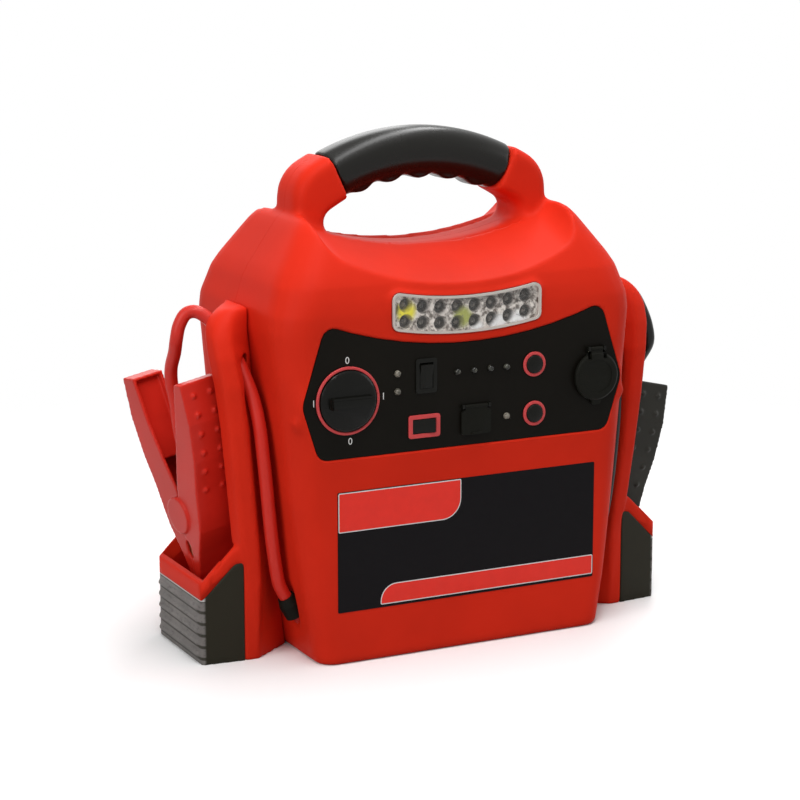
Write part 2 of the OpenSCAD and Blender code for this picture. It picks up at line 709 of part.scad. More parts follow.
module holster(side) {
    color(red) difference() {
        holster_form(side);
        // Room for the clamp
        clamp_place(side) along_x(-18, 18) polygon([[-51, 106], [-51, 66], [-45, 40], [-37, 17], [-34, -5],
            [-32, -26], [28, -26], [37, 17], [60, 106]]);
    }
}

module holster_form(side) {
    on_side(side) difference() {
        union() {
            ear();
            difference() {
                intersection() {
                    linear_extrude(120) polygon(pocket_outline(0));
                    under_rim(0);
                }
                // Inside of the pocket
                block([144, -33.5, pocket_floor[side < 0 ? 0 : 1]], [pocket_x - 3.2, pocket_back_y - 3.5, 200]);
            }
        }
        // Room behind the ear for the clamp
        block([144, -33.5, pocket_floor[side < 0 ? 0 : 1]], [pocket_x - 3.2, pocket_back_y - 3.5, 84]);
        boot_form(0.02, 3);
        body_form();
        // Window for the lead
        tube([for (p = lead_path(side, 7, 14)) [abs(p.x), p.y, p.z]], 7.5);
    }
}

// The rubber boot: the lower skin of the pocket, grown by grow; out is spare room outside it.
module boot_form(grow, out = 0) {
    difference() {
        intersection() {
            translate([0, 0, -1]) linear_extrude(120) polygon(pocket_outline(-out));
            under_rim(12 - grow);
            block([158 - grow, -100, -1], [260, 100, 200]);
        }
        translate([0, 0, -2]) linear_extrude(130) polygon(pocket_outline(boot_thick + grow));
    }
}

module boot(side) {
    color(rubber) on_side(side) intersection() {
        union() {
            boot_form(0);
            // Ribs along the outer face
            for (i = [0:4]) bar_x_rib(7 + 8.6 * i);
        }
        block([0, -200, 0], [300, 200, 200]);
    }
}

module bar_x_rib(z) {
    translate([pocket_x, -32, z]) rotate([-90, 0, 0]) cylinder(r = 2, h = pocket_back_y + 26, $fn = 16);
}

module left_holster() {
    holster(-1);
}

module right_holster() {
    holster(1);
}

module left_boot() {
    boot(-1);
}

module right_boot() {
    boot(1);
}

// ------------------------------------------------------------------ leads

gland_r = 8;
gland_foot = [124, -44, 38];
gland_lean = 30;

module gland_place(side) {
    translate([side * gland_foot.x, gland_foot.y, gland_foot.z]) rotate([0, side * gland_lean, 0]) children();
}

module lead_glands() {
    color(black) for (s = [-1, 1]) gland_place(s) difference() {
        union() {
            translate([0, 0, -8]) cylinder(r = gland_r, h = 10);
            translate([0, 0, 2]) cylinder(r1 = gland_r, r2 = lead_d / 2 + 1.4, h = 6);
        }
        translate([0, 0, -15]) cylinder(r = lead_d / 2 - 0.5, h = 15);
    }
}

// Route of a lead: out of the gland, up the groove in front of the ear, through the ear's
// window, over the top and down between the clamp's handles to its lug.
lead_rise = [[128, -44, 44.93], [130.6, -44, 49.43], [134, -44.5, 58], [138, -46, 80], [141, -47, 104], [143.5, -47.5, 130],
    [145.5, -47, 152], [147, -45, 172], [149, -40, 190], [152, -32, 206], [156, -24, 220], [161.5, -16, 233]];
red_over = [[168, -9, 243.5], [176, -4, 250], [183.5, -1, 249], [188.5, 0, 241], [190.5, 1, 231], [189.8, 7, 220],
    [189.5, 15, 208], [188, 18.7, 195], [185, 18.9, 180]];
black_over = [[169, -10, 241], [178, -7, 242], [188, -4, 235], [196.5, -1.5, 223.5], [203, 0, 210], [206, 2, 196],
    [204.5, 10, 183], [200, 17.5, 170], [194, 20.5, 156], [189, 19, 141]];

clamp_at = [[-172.4, 12, 102.4], [170.3, 8, 66]];
clamp_lean = [10.5, 13];
clamp_back = [5, 8];
clamp_yaw = [9, 0];

// A point at height t on the middle line of a clamp.
function clamp_line(side, t) = let (k = side < 0 ? 0 : 1, a = clamp_lean[k], b = clamp_back[k])
    clamp_at[k] + t * [side * sin(a) * cos(b), sin(b), cos(a) * cos(b)];

function lead_path(side, from = 0, to = 99) = let (
    over = side < 0 ? red_over : black_over,
    all = concat([for (p = concat(lead_rise, over)) [side * p.x, p.y, p.z]],
        [for (t = [62, 44, 26]) clamp_line(side, t)]))
    [for (i = [from:min(to, len(all) - 1)]) all[i]];

module red_lead() {
    color(ring_red) tube(lead_path(-1), lead_d / 2, 12);
}

module black_lead() {
    color(black) tube(lead_path(1), lead_d / 2, 12);
}

// ------------------------------------------------------------------ clamps

// Clamp frame: pivot at the origin along X, handles up, jaws down, front half towards -Y.
module clamp_place(side) {
    k = side < 0 ? 0 : 1;
    translate(clamp_at[k]) rotate([-clamp_back[k], side * clamp_lean[k], 0])
        rotate([0, 0, -side * clamp_yaw[k]]) children();
}

// Outer edge of a half, [out, up], from the top of the lever down to the jaw's tip.
lever_top = clamp_handle - 14;
half_edge = [[clamp_spread + 17, lever_top], [46.5, 70], [41, 42], [33, 19], [28.5, 0], [25, -12], [17, -28],
    [10, 5 - clamp_jaw], [7, 1 - clamp_jaw]];
// Edges of the side walls towards the middle: the levers of the two halves, and the jaws.
front_lever = [[5, 20], [11, 36], [25, 70], [36, lever_top]];
rear_lever = [[2, 18], [12, 40], [22, 66], [30, lever_top]];
jaw_edge = [[0.4, 1 - clamp_jaw], [1.5, -36], [6, -31], [6, -23], [0.4, -18], [0.4, -8]];
front_half_w = 15.5;
rear_half_w = 12.5;
wall_thick = 2.4;
pin_r = 3;

// One half of a clamp, drawn on the front side: a deep channel from lever to jaw, open
// towards the middle, with a round cheek at the pin and two rows of grip nubs outside.
module clamp_half(w, lever, cheek_r) {
    difference() {
        union() {
            along_x(-w, w) {
                polygon([for (p = concat(half_edge, jaw_edge, lever)) [-p[0], p[1]]]);
                circle(cheek_r);
            }
            for (s = [-1, 1], i = [0:5]) let (z = lever_top - 10 - 14 * i)
                translate([s * 7, 0.4 - lookup(z, [for (i = [8:-1:0]) [half_edge[i][1], half_edge[i][0]]]), z])
                    sphere(2.1, $fn = 16);
        }
        along_x(wall_thick - w, w - wall_thick) polygon(concat(
            [[70, lever_top - wall_thick], [2.6 - half_edge[0][0], lever_top - wall_thick]],
            [for (i = [1:8]) [2.6 - half_edge[i][0], half_edge[i][1]]], [[-4.4, -80], [70, -80]]));
        bar_x([0, 0], pin_r + 0.05, -front_half_w + 0.1, front_half_w - 0.1);
    }
}

// Front half: its cheeks are outermost and carry the round covers over the pin's ends.
module clamp_front() {
    clamp_half(front_half_w, front_lever, 13.5);
    for (s = [-1, 1]) bar_x([0, 0], 13.9, s > 0 ? front_half_w - 0.5 : -front_half_w - 2,
        s > 0 ? front_half_w + 2 : 0.5 - front_half_w);
}

// Rear half: its cheeks lie inside those of the front half.
module clamp_rear() {
    mirror([0, 1, 0]) clamp_half(rear_half_w, rear_lever, 13);
}

// A jaw of half width w: a toothed bar, drawn on the front side.
teeth = 5;
module clamp_jaw_form(w) {
    top = -17;
    tip = -clamp_jaw + 1;
    step = (top - 10 - tip) / teeth;
    along_x(-w, w) polygon(concat(
        [[-4, top], [-11.4, top], [-10.4, tip + 14], [-5.5, tip + 3], [-4.4, tip]],
        [for (i = [0:teeth - 1]) each [[-0.4, tip + step * (i + 0.15)], [-2.6, tip + step * (i + 0.9)]]],
        [[-4, tip + step * teeth]]));
}

module clamp_pin() {
    bar_x([0, 0], pin_r, 0.6 - front_half_w, front_half_w - 0.6);
}

// The spring is one wire wound round the pin.
coil_turns = 5;
coil_wire = 1.1;
coil_r = 5.6;
module clamp_spring() {
    steps = coil_turns * 10;
    skin([for (i = [0:steps])
        let (a = 360 * i / 10, c = [-6.6 + 9.6 * i / steps, coil_r * cos(a), coil_r * sin(a)],
             out = [0, cos(a), sin(a)])
        [for (k = [0:5]) c + coil_wire * (out * cos(60 * k) - [1, 0, 0] * sin(60 * k))]]);
}

// Cable lug: an eye round the pin and a barrel that takes the lead.
module clamp_lug() {
    difference() {
        union() {
            bar_x([0, 0], 7.5, 4.9, 7.6);
            along_x(4.9, 7.6) polygon([[-6, 0], [6, 0], [4, 26], [-4, 26]]);
            translate([0, 0, 12]) cylinder(r = 6.6, h = 14);
        }
        bar_x([0, 0], pin_r + 0.05, 4, 10);
    }
}

module red_clamp_front() {
    color(ring_red) clamp_place(-1) clamp_front();
}

module red_clamp_rear() {
    color(ring_red) clamp_place(-1) clamp_rear();
}

module red_clamp_front_jaw() {
    color(copper) clamp_place(-1) clamp_jaw_form(13);
}

module red_clamp_rear_jaw() {
    color(copper) clamp_place(-1) mirror([0, 1, 0]) clamp_jaw_form(10);
}

module red_clamp_pin() {
    color(steel) clamp_place(-1) clamp_pin();
}

module red_clamp_spring() {
    color(steel) clamp_place(-1) clamp_spring();
}

module red_clamp_lug() {
    color(copper) clamp_place(-1) clamp_lug();
}

module black_clamp_front() {
    color(black) clamp_place(1) clamp_front();
}

module black_clamp_rear() {
    color(black) clamp_place(1) clamp_rear();
}

module black_clamp_front_jaw() {
    color(copper) clamp_place(1) clamp_jaw_form(13);
}

module black_clamp_rear_jaw() {
    color(copper) clamp_place(1) mirror([0, 1, 0]) clamp_jaw_form(10);
}

module black_clamp_pin() {
    color(steel) clamp_place(1) clamp_pin();
}

module black_clamp_spring() {
    color(steel) clamp_place(1) clamp_spring();
}

module black_clamp_lug() {
    color(copper) clamp_place(1) clamp_lug();
}

// ------------------------------------------------------------------ inside

battery_half_w = 90.5;
battery_y0 = -32;
battery_y1 = 45;
battery_top = 170;
terminal_x = 74;
motor_at = [36, 205];
motor_r = 24;

module battery() {
    color("#3a3d42") {
        block([-battery_half_w, battery_y0, wall], [battery_half_w, battery_y1, battery_top - 12]);
        block([-battery_half_w + 2, battery_y0 + 2, battery_top - 12.5], [battery_half_w - 2, battery_y1 - 2, battery_top]);
    }
}

// Terminal posts with their bolts
module battery_terminals() {
    color(copper) for (s = [-1, 1]) {
        block([s * terminal_x - 6, -26, battery_top], [s * terminal_x + 6, -12, battery_top + 3]);
        translate([s * terminal_x, -19, battery_top + 3]) cylinder(r = 5, h = 5, $fn = 6);
    }
}

module battery_strap() {
    y0 = battery_y0;
    y1 = battery_y1;
    t = 1.5;
    color(steel) for (x = [-45, 30]) along_x(x, x + 15) polygon([[y0 - 12, wall], [y0, wall], [y0, battery_top], [y1, battery_top],
        [y1, wall], [y1 + 12, wall], [y1 + 12, wall + t], [y1 + t, wall + t], [y1 + t, battery_top + t],
        [y0 - t, battery_top + t], [y0 - t, wall + t], [y0 - 12, wall + t]]);
}

// Thick cables: gland to main switch, main switch to battery, and gland to battery
module inner_cables() {
    r = 4.2;
    gap = panel_back_y + 36;
    low = [[120, -44, 31.05], [118.3, -44, 28.1], [115, -44, 25.6], [110.5, -43.8, 25], [105.5, -43.4, 28.5],
        [102, -42.8, 38], [100, -42, 60], [100, -42, 90]];
    color(ring_red) tube(concat([for (p = low) [-p.x, p.y, p.z]], [[-100, -41, 130], [-99, -36, 152], [-97, -29, 167],
        [-95.5, -27.5, 177], [-95, -33, 181.5], [-95, gap + 0.05, 181.5]]), r);
    color(ring_red) tube([[-95, gap + 0.05, 203.5], [-95, gap + 7, 203.5], [-92, gap + 15, 203], [-84, -21, 200],
        [-76, -19, 193], [-terminal_x, -19, 186], [-terminal_x, -19, 178]], r);
    color(black) tube(concat(low, [[100, -41, 150], [98, -37, 176], [91, -29, 190], [81, -21, 193],
        [terminal_x, -19, 186], [terminal_x, -19, 178]]), r);
}

module compressor_motor() {
    color(steel) {
        bar_x(motor_at, motor_r, -44, 34);
        bar_x(motor_at, motor_r - 9, -48, -44);
        bar_x(motor_at, 10, 34, 40);
    }
}

module compressor_head() {
    c = [53, motor_at.x];
    color("#8d9196") difference() {
        union() {
            block([40, c.y - 16, 190], [66, c.y + 16, 220]);
            translate([c.x, c.y, 220]) cylinder(r = 12, h = 24);
            for (i = [0:3]) translate([c.x, c.y, 223 + 5.5 * i]) cylinder(r = 16, h = 2.4);
            translate([c.x, c.y, 243]) cylinder(r = 13, h = 6);
        }
        translate([c.x, c.y, 200]) cylinder(r = 8, h = 60, $fn = 24);
    }
    color(steel) translate([c.x, c.y, 208]) cylinder(r = 7.9, h = 30);
    // Air tube to the outlet at the back
    color("#3d4046") tube([[air_at.x, c.y + 16, air_at.y], [air_at.x, c.y + 24, air_at.y], [air_at.x, 76, air_at.y]], 4);
}

module air_fitting() {
    color("#c9a24a") difference() {
        union() {
            bar_y(air_at, 5, 76, back_y - 3);
            bar_y(air_at, 8, back_y - 3, back_y - 1.4, 8);
            bar_y(air_at, 4.4, back_y - 1.5, back_y);
        }
        bar_y(air_at, 2.2, 78, back_y + 1);
    }
}

// ------------------------------------------------------------------ back

module gauge_case() {
    color(black) difference() {
        union() {
            bar_y(gauge_at, 24, back_y - 2, back_y - 0.2);
            bar_y(gauge_at, 22, back_y - 20, back_y - 1);
        }
        bar_y(gauge_at, 20.5, back_y - 12, back_y + 1);
        bar_y(gauge_at, 1.25, back_y - 16, back_y);
    }
    // Dial
    color("#f4f4f0") bar_ring(gauge_at, 20.4, 1.6, back_y - 12, back_y - 11);
}

module gauge_needle() {
    color("#c8201c") {
        bar_y(gauge_at, 2.6, back_y - 10.4, back_y - 8.6);
        bar_y(gauge_at, 1.2, back_y - 15.5, back_y - 10);
        translate([gauge_at.x, 0, gauge_at.y]) along_y(back_y - 10.2, back_y - 9.4)
            rotate(45) polygon([[-1.3, 5], [0, -16], [1.3, 5]]);
    }
}

module gauge_lens() {
    color("#e4eaee", 0.4) bar_y(gauge_at, 20.45, back_y - 3, back_y - 1.4);
}

module charge_inlet() {
    color(black) difference() {
        union() {
            bar_y(inlet_at, 10.8, back_y - 3, back_y - 1);
            bar_y(inlet_at, 7, back_y - 16, back_y - 2);
        }
        bar_y(inlet_at, 2.8, back_y - 13, back_y);
    }
    color(steel) bar_y(inlet_at, 1, back_y - 13, back_y - 4);
}

module housing_screws() {
    color(steel) for (s = [-1, 1], p = screw_places) difference() {
        union() {
            bar_y([s * p.x, p.y], 4, inner_back_y - 12, inner_back_y - 9.4);
            bar_y([s * p.x, p.y], 1.95, mid_y - 13, inner_back_y - 11);
        }
        // Cross recess
        for (a = [0, 90]) translate([s * p.x, inner_back_y - 9.4, p.y]) rotate([0, a, 0]) cube([4.4, 2.4, 1.1], center = true);
    }
}

front_shell();
rear_shell();
handle_grip();
control_panel();
switch_ring();
switch_knob();
switch_body();
status_leds();
level_leds();
output_rocker_frame();
output_rocker();
light_rocker_frame();
light_rocker();
usb_socket();
usb_cover();
test_bezel();
test_button();
air_bezel();
air_button();
dc_socket();
dc_cap();
control_board();
lamp_lens();
lamp_reflector();
lamp_leds();
lamp_board();
left_holster();
right_holster();
left_boot();
right_boot();
lead_glands();
red_lead();
black_lead();
red_clamp_front();
red_clamp_rear();
red_clamp_front_jaw();
red_clamp_rear_jaw();
red_clamp_pin();
red_clamp_spring();
red_clamp_lug();
black_clamp_front();
black_clamp_rear();
black_clamp_front_jaw();
black_clamp_rear_jaw();
black_clamp_pin();
black_clamp_spring();
black_clamp_lug();
battery();
battery_terminals();
battery_strap();
inner_cables();
compressor_motor();
compressor_head();
air_fitting();
gauge_case();
gauge_needle();
gauge_lens();
charge_inlet();
housing_screws();
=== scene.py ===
"""Looks of a portable engine starter, built as a Blender add-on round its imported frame."""

import json
import math

import bmesh
import bpy
from bpy.props import FloatProperty, FloatVectorProperty, IntProperty, PointerProperty
from mathutils import Matrix, Vector

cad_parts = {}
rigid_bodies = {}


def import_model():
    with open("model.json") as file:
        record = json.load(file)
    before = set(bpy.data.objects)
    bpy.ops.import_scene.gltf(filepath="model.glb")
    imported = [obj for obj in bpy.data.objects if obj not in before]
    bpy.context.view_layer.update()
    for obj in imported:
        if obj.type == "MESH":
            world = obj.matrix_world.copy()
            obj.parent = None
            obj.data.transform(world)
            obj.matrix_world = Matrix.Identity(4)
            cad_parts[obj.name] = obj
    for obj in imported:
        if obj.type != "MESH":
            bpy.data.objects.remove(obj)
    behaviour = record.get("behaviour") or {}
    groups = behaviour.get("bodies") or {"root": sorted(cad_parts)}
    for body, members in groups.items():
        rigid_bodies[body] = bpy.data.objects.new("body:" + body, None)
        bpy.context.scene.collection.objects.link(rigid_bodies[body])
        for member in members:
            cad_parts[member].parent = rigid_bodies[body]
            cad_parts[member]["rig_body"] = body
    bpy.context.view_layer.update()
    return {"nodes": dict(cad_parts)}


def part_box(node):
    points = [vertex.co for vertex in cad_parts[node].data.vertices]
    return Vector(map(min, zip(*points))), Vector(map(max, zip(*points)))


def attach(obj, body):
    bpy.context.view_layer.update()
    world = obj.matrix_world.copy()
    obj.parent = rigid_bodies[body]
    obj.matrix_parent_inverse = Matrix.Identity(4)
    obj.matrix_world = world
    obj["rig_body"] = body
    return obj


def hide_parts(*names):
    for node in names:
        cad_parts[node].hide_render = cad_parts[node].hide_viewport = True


bl_info = {
    "name": "Engine starter dresser",
    "version": (1, 0, 0),
    "blender": (4, 5, 0),
    "location": "View3D > Sidebar > Starter",
    "description": "Gives a portable engine starter its moulded skins, finishes and studio",
    "category": "Object",
}

MM = 0.001

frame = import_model()

# Faces of the housing, read from the frame
FRONT_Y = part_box("front_shell")[0].y
BACK_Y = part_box("rear_shell")[1].y
SEAM_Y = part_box("front_shell")[1].y
PANEL_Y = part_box("control_panel")[0].y
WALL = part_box("battery")[0].z

# Flat face of the lamp's lens
LENS_Y = FRONT_Y - 0.6 * MM

# Half widths of the housing at its foot and at its shoulders, in millimetres
FOOT_HALF = 116.5
SHOULDER_HALF = 145
SHOULDER_Z = 240

# Gap round what an opening holds, and how far a cutting tool stands out of the housing
PLAY = 0.15 * MM
CLEAR = 3 * MM

# Openings in the back, in millimetres: radius of the seat and of the hole, depth of the seat
BACK_OPENINGS = {"gauge_case": (24.3, 22.3, 2), "air_fitting": (11, 5.2, 3), "charge_inlet": (11, 7.2, 3)}

# Housing screws, in millimetres: radius of the hole and of the head's seat, and the head's height
SCREW_HOLE_R = 2.1
SCREW_SEAT_R = 4.2
SCREW_HEAD = 2.6

# Louvres in the back, in millimetres
VENTS = 7
VENT_HALF = 35
VENT_LOW = 96
VENT_PITCH = 8
VENT_HIGH = 3

# Ribs, and the top edge that carries a painted highlight, on the outer face of a boot
RIB_PITCH = 8.6 * MM
RIB_GROOVE_Z = 4.6 * MM
BOOT_RIM_Z = 48 * MM

# Painted reflections on the lamp's reflector: white glints of glare, and the emitters' yellow and moss green
# seen in it; x and z in millimetres, colour, and reach in millimetres
YELLOW, MOSS, WHITE = (0.95, 0.86, 0.03), (0.42, 0.45, 0.10), (1.0, 1.0, 1.0)
PAINTED_REFLECTIONS = [
    (-48.4, 252, YELLOW, 10),
    (-3.1, 244.9, MOSS, 10),
    (8, 236.8, WHITE, 7),
    (26, 237.5, WHITE, 9),
    (43, 239, WHITE, 10),
]


# ---- node trees


class Wire:
    """One output of a node. Arithmetic on it adds Math nodes to its tree."""

    def __init__(self, nodes, output):
        self.nodes = nodes
        self.output = output

    def __add__(self, other):
        return self.nodes.math("ADD", self, other)

    __radd__ = __add__

    def __sub__(self, other):
        return self.nodes.math("SUBTRACT", self, other)

    def __rsub__(self, other):
        return self.nodes.math("SUBTRACT", other, self)

    def __mul__(self, other):
        return self.nodes.math("MULTIPLY", self, other)

    __rmul__ = __mul__

    def __abs__(self):
        return self.nodes.math("ABSOLUTE", self)

    def above(self, low, high):
        """0 under low, 1 over high, and a smooth step between."""
        values = {"Value": self, "From Min": low, "From Max": high}
        return self.nodes.node("ShaderNodeMapRange", {"interpolation_type": "SMOOTHSTEP"}, values)


class Nodes:
    """A node tree, and short ways to add to it."""

    def __init__(self, tree):
        self.tree = tree

    def put(self, socket, value):
        """Links a wire to the socket, or sets a plain value on it."""
        if isinstance(value, Wire):
            self.tree.links.new(value.output, socket)
        elif socket.type == "RGBA":
            socket.default_value = (*value, 1)
        else:
            socket.default_value = value

    def node(self, kind, settings=None, values=(), output=0):
        """Adds a node: its settings first, then its sockets' values or wires."""
        node = self.tree.nodes.new(kind)
        for key, value in (settings or {}).items():
            setattr(node, key, value)
        pairs = values.items() if isinstance(values, dict) else enumerate(values)
        for key, value in pairs:
            self.put(node.inputs[key], value)
        return Wire(self, node.outputs[output])

    def math(self, operation, *values):
        return self.node("ShaderNodeMath", {"operation": operation}, values)

    def mix(self, share, first, second):
        """A colour between first and second."""
        return self.node("ShaderNodeMix", {"data_type": "RGBA"}, {0: share, 6: first, 7: second}, 2)

    def place(self):
        """Object coordinates, in metres."""
        return self.node("ShaderNodeTexCoord", output="Object")

    def axis(self, letter):
        return self.node("ShaderNodeSeparateXYZ", None, [self.place()], letter)

    def stretched(self, scale):
        return self.node("ShaderNodeMapping", None, {"Vector": self.place(), "Scale": scale})

    def distance_to(self, point):
        values = [self.place(), point]
        return self.node("ShaderNodeVectorMath", {"operation": "DISTANCE"}, values, "Value")

    def noise(self, scale, detail, rough=0.5, vector=None):
        values = {"Vector": vector or self.place(), "Scale": scale, "Detail": detail, "Roughness": rough}
        return self.node("ShaderNodeTexNoise", None, values)

    def cells(self, scale):
        values = {"Vector": self.place(), "Scale": scale}
        return self.node("ShaderNodeTexVoronoi", None, values, "Distance")

    def bump(self, height, depth):
        return self.node("ShaderNodeBump", None, {"Height": height, "Distance": depth, "Strength": 1})

    def in_view(self):
        """1 for what is seen straight, mirrored or through glass, and 0 for all other light."""
        straight, mirrored, through = (
            self.node("ShaderNodeLightPath", output=f"Is {kind} Ray")
            for kind in ("Camera", "Glossy", "Transmission")
        )
        return self.math("MAXIMUM", self.math("MAXIMUM", straight, mirrored), through)


class Finish(Nodes):
    """A material with one Principled shader."""

    def __init__(self, name, color, roughness, **plain):
        self.material = bpy.data.materials.new(name)
        self.material.use_nodes = True
        super().__init__(self.material.node_tree)
        self.feed(Base_Color=color, Roughness=roughness, **plain)

    def feed(self, **values):
        """Puts plain values or wires on the shader's sockets, and returns the material."""
        shader = self.tree.nodes["Principled BSDF"]
        for socket, value in values.items():
            self.put(shader.inputs[socket.replace("_", " ")], value)
        return self.material


# ---- materials


def shade(color, factor):
    return tuple(c * factor for c in color)


def moulded(name, color, grain=1100, roughness=0.48, cloud=0.08, specular=0.06):
    """Moulded plastic: even grain, with faint clouds in its colour and gloss."""
    finish = Finish(name, color, roughness, Specular_IOR_Level=specular)
    clouds = finish.noise(9, detail=4)
    fine = finish.noise(grain, detail=2)
    tone = finish.mix(clouds.above(0.3, 0.7), shade(color, 1 - cloud), shade(color, 1 + cloud))
    return finish.feed(
        Base_Color=finish.mix(fine.above(0.62, 0.8) * 0.12, tone, shade(color, 0.6)),
        Roughness=roughness - 0.05 + 0.1 * clouds + 0.05 * fine,
        Normal=finish.bump(fine, 0.035 * MM),
    )


def glossy(name, color, roughness=0.28, specular=0.3):
    """Smooth plastic with handling marks in its gloss."""
    finish = Finish(name, color, roughness, Specular_IOR_Level=specular)
    marks = finish.noise(90, detail=8, rough=0.7)
    streaks = finish.noise(60, detail=5, vector=finish.stretched((1, 1, 9)))
    return finish.feed(
        Base_Color=finish.mix(marks, shade(color, 0.9), shade(color, 1.1)),
        Roughness=roughness - 0.06 + 0.12 * marks + 0.06 * streaks,
        Normal=finish.bump(marks, 0.01 * MM),
    )


def rubbery(name, color, roughness, dust, specular, grain=1500):
    """Rubber: fine grain, and a pale bloom of dust in patches."""
    finish = Finish(name, color, roughness, Specular_IOR_Level=specular)
    patches = finish.noise(28, detail=6, rough=0.6)
    return finish.feed(
        Base_Color=finish.mix(patches.above(0.45, 0.75) * dust, color, (0.45, 0.44, 0.42)),
        Roughness=roughness - 0.08 + 0.16 * patches,
        Normal=finish.bump(finish.noise(grain, detail=2), 0.03 * MM),
    )


def ribbed_rubber(name, plain, outer_pale, rim):
    """A boot's rubber: paler on its outer ribbed face, with a painted highlight along the top edge of that
    face.
    """
    finish = Finish(name, plain, 0.55, Specular_IOR_Level=0.15)
    patches = finish.noise(40, detail=6, rough=0.6)
    scuffs = finish.noise(500, detail=5, rough=0.7, vector=finish.stretched((1, 0.3, 1)))
    height = finish.axis("Z")
    from_groove = finish.math("PINGPONG", height - RIB_GROOVE_Z, RIB_PITCH / 2)
    # The outer face is paler than the rest, in patches, with darker scuffs
    tone = finish.mix(patches.above(0.3, 0.75), shade(outer_pale, 0.8), shade(outer_pale, 1.15))
    tone = finish.mix(scuffs.above(0.5, 0.68) * 0.55, tone, shade(outer_pale, 0.35))
    tone = finish.mix((1 - from_groove.above(0.7 * MM, 1.6 * MM)) * 0.85, tone, plain)
    # Painted highlight: a pale line along the top edge of the outer face
    tone = finish.mix(height.above(BOOT_RIM_Z - 1.1 * MM, BOOT_RIM_Z - 0.7 * MM) * 0.8, tone, rim)
    outer = abs(finish.axis("X")).above(186.5 * MM, 188.5 * MM)
    return finish.feed(
        Base_Color=finish.mix(outer, plain, tone),
        Roughness=0.47 + 0.16 * patches,
        Normal=finish.bump(finish.noise(1500, detail=2), 0.03 * MM),
    )


def metal(name, color, roughness=0.3, stain=0.25):
    """Plated or bare metal, with fine marks and dull spots."""
    finish = Finish(name, color, roughness, Metallic=1.0)
    marks = finish.noise(400, detail=4)
    spots = finish.noise(60, detail=6)
    return finish.feed(
        Base_Color=finish.mix(spots.above(0.5, 0.75) * stain, color, shade(color, 0.55)),
        Roughness=roughness - 0.08 + 0.2 * marks,
        Normal=finish.bump(marks, 0.01 * MM),
    )


def circuit(name, mask, track):
    """A circuit board: solder mask over tracks, with tinned pads."""
    finish = Finish(name, mask, 0.35, Specular_IOR_Level=0.5)
    bricks = {"Vector": finish.place(), "Scale": 90, "Mortar Size": 0.06}
    tracks = finish.node("ShaderNodeTexBrick", None, bricks, 1)
    tinned = 1 - finish.cells(260).above(0.12, 0.16)
    return finish.feed(
        Base_Color=finish.mix(tinned, finish.mix(tracks * 0.5, mask, track), (0.6, 0.6, 0.58)),
        Metallic=tinned * 0.9,
        Normal=finish.bump(tracks + tinned, 0.05 * MM),
    )


def clear(name, haze, veil):
    """Thin clear plastic: a faint pale veil with a moulded ripple, which light passes."""
    finish = Finish(name, haze, 0.08, Specular_IOR_Level=1.0)
    ripple = finish.noise(160, detail=2)
    return finish.feed(Alpha=veil * 0.7 + veil * 0.6 * ripple, Normal=finish.bump(ripple, 0.02 * MM))


def reflector_plate(name, plate, shadow, cup):
    """Plated plastic with a pebbled face and dark cups, with painted glints of glare and painted reflections
    of the emitters in its colour.
    """
    face_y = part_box("lamp_reflector")[0].y
    finish = Finish(name, plate, 0.3, Metallic=0.1)
    patches = finish.noise(230, detail=4, rough=0.7)
    tone = finish.mix(patches.above(0.38, 0.6), shadow, plate)
    tone = finish.mix(finish.axis("Y").above(face_y + 0.3 * MM, face_y + 5 * MM), tone, cup)
    # Painted reflections: white glints of glare and the emitters' colours, laid into the plate's colour
    # round each place
    for x, z, color, reach in PAINTED_REFLECTIONS:
        near = 1 - finish.distance_to((x * MM, face_y, z * MM)).above(reach * 0.4 * MM, reach * MM)
        tone = finish.mix(near * patches.above(0.22, 0.4), tone, color)
    return finish.feed(
        Base_Color=tone,
        Roughness=0.2 + 0.25 * patches,
        Normal=finish.bump(finish.cells(330), 0.4 * MM),
    )


def lamp_resin(name, centre, rim):
    """Light emitters: a dark die under a clear resin dome."""
    finish = Finish(name, rim, 0.2, Specular_IOR_Level=0.3)
    cloud = finish.noise(300, detail=3)
    return finish.feed(
        Base_Color=finish.mix(cloud.above(0.42, 0.58), centre, rim),
        Roughness=0.1 + 0.15 * cloud,
    )


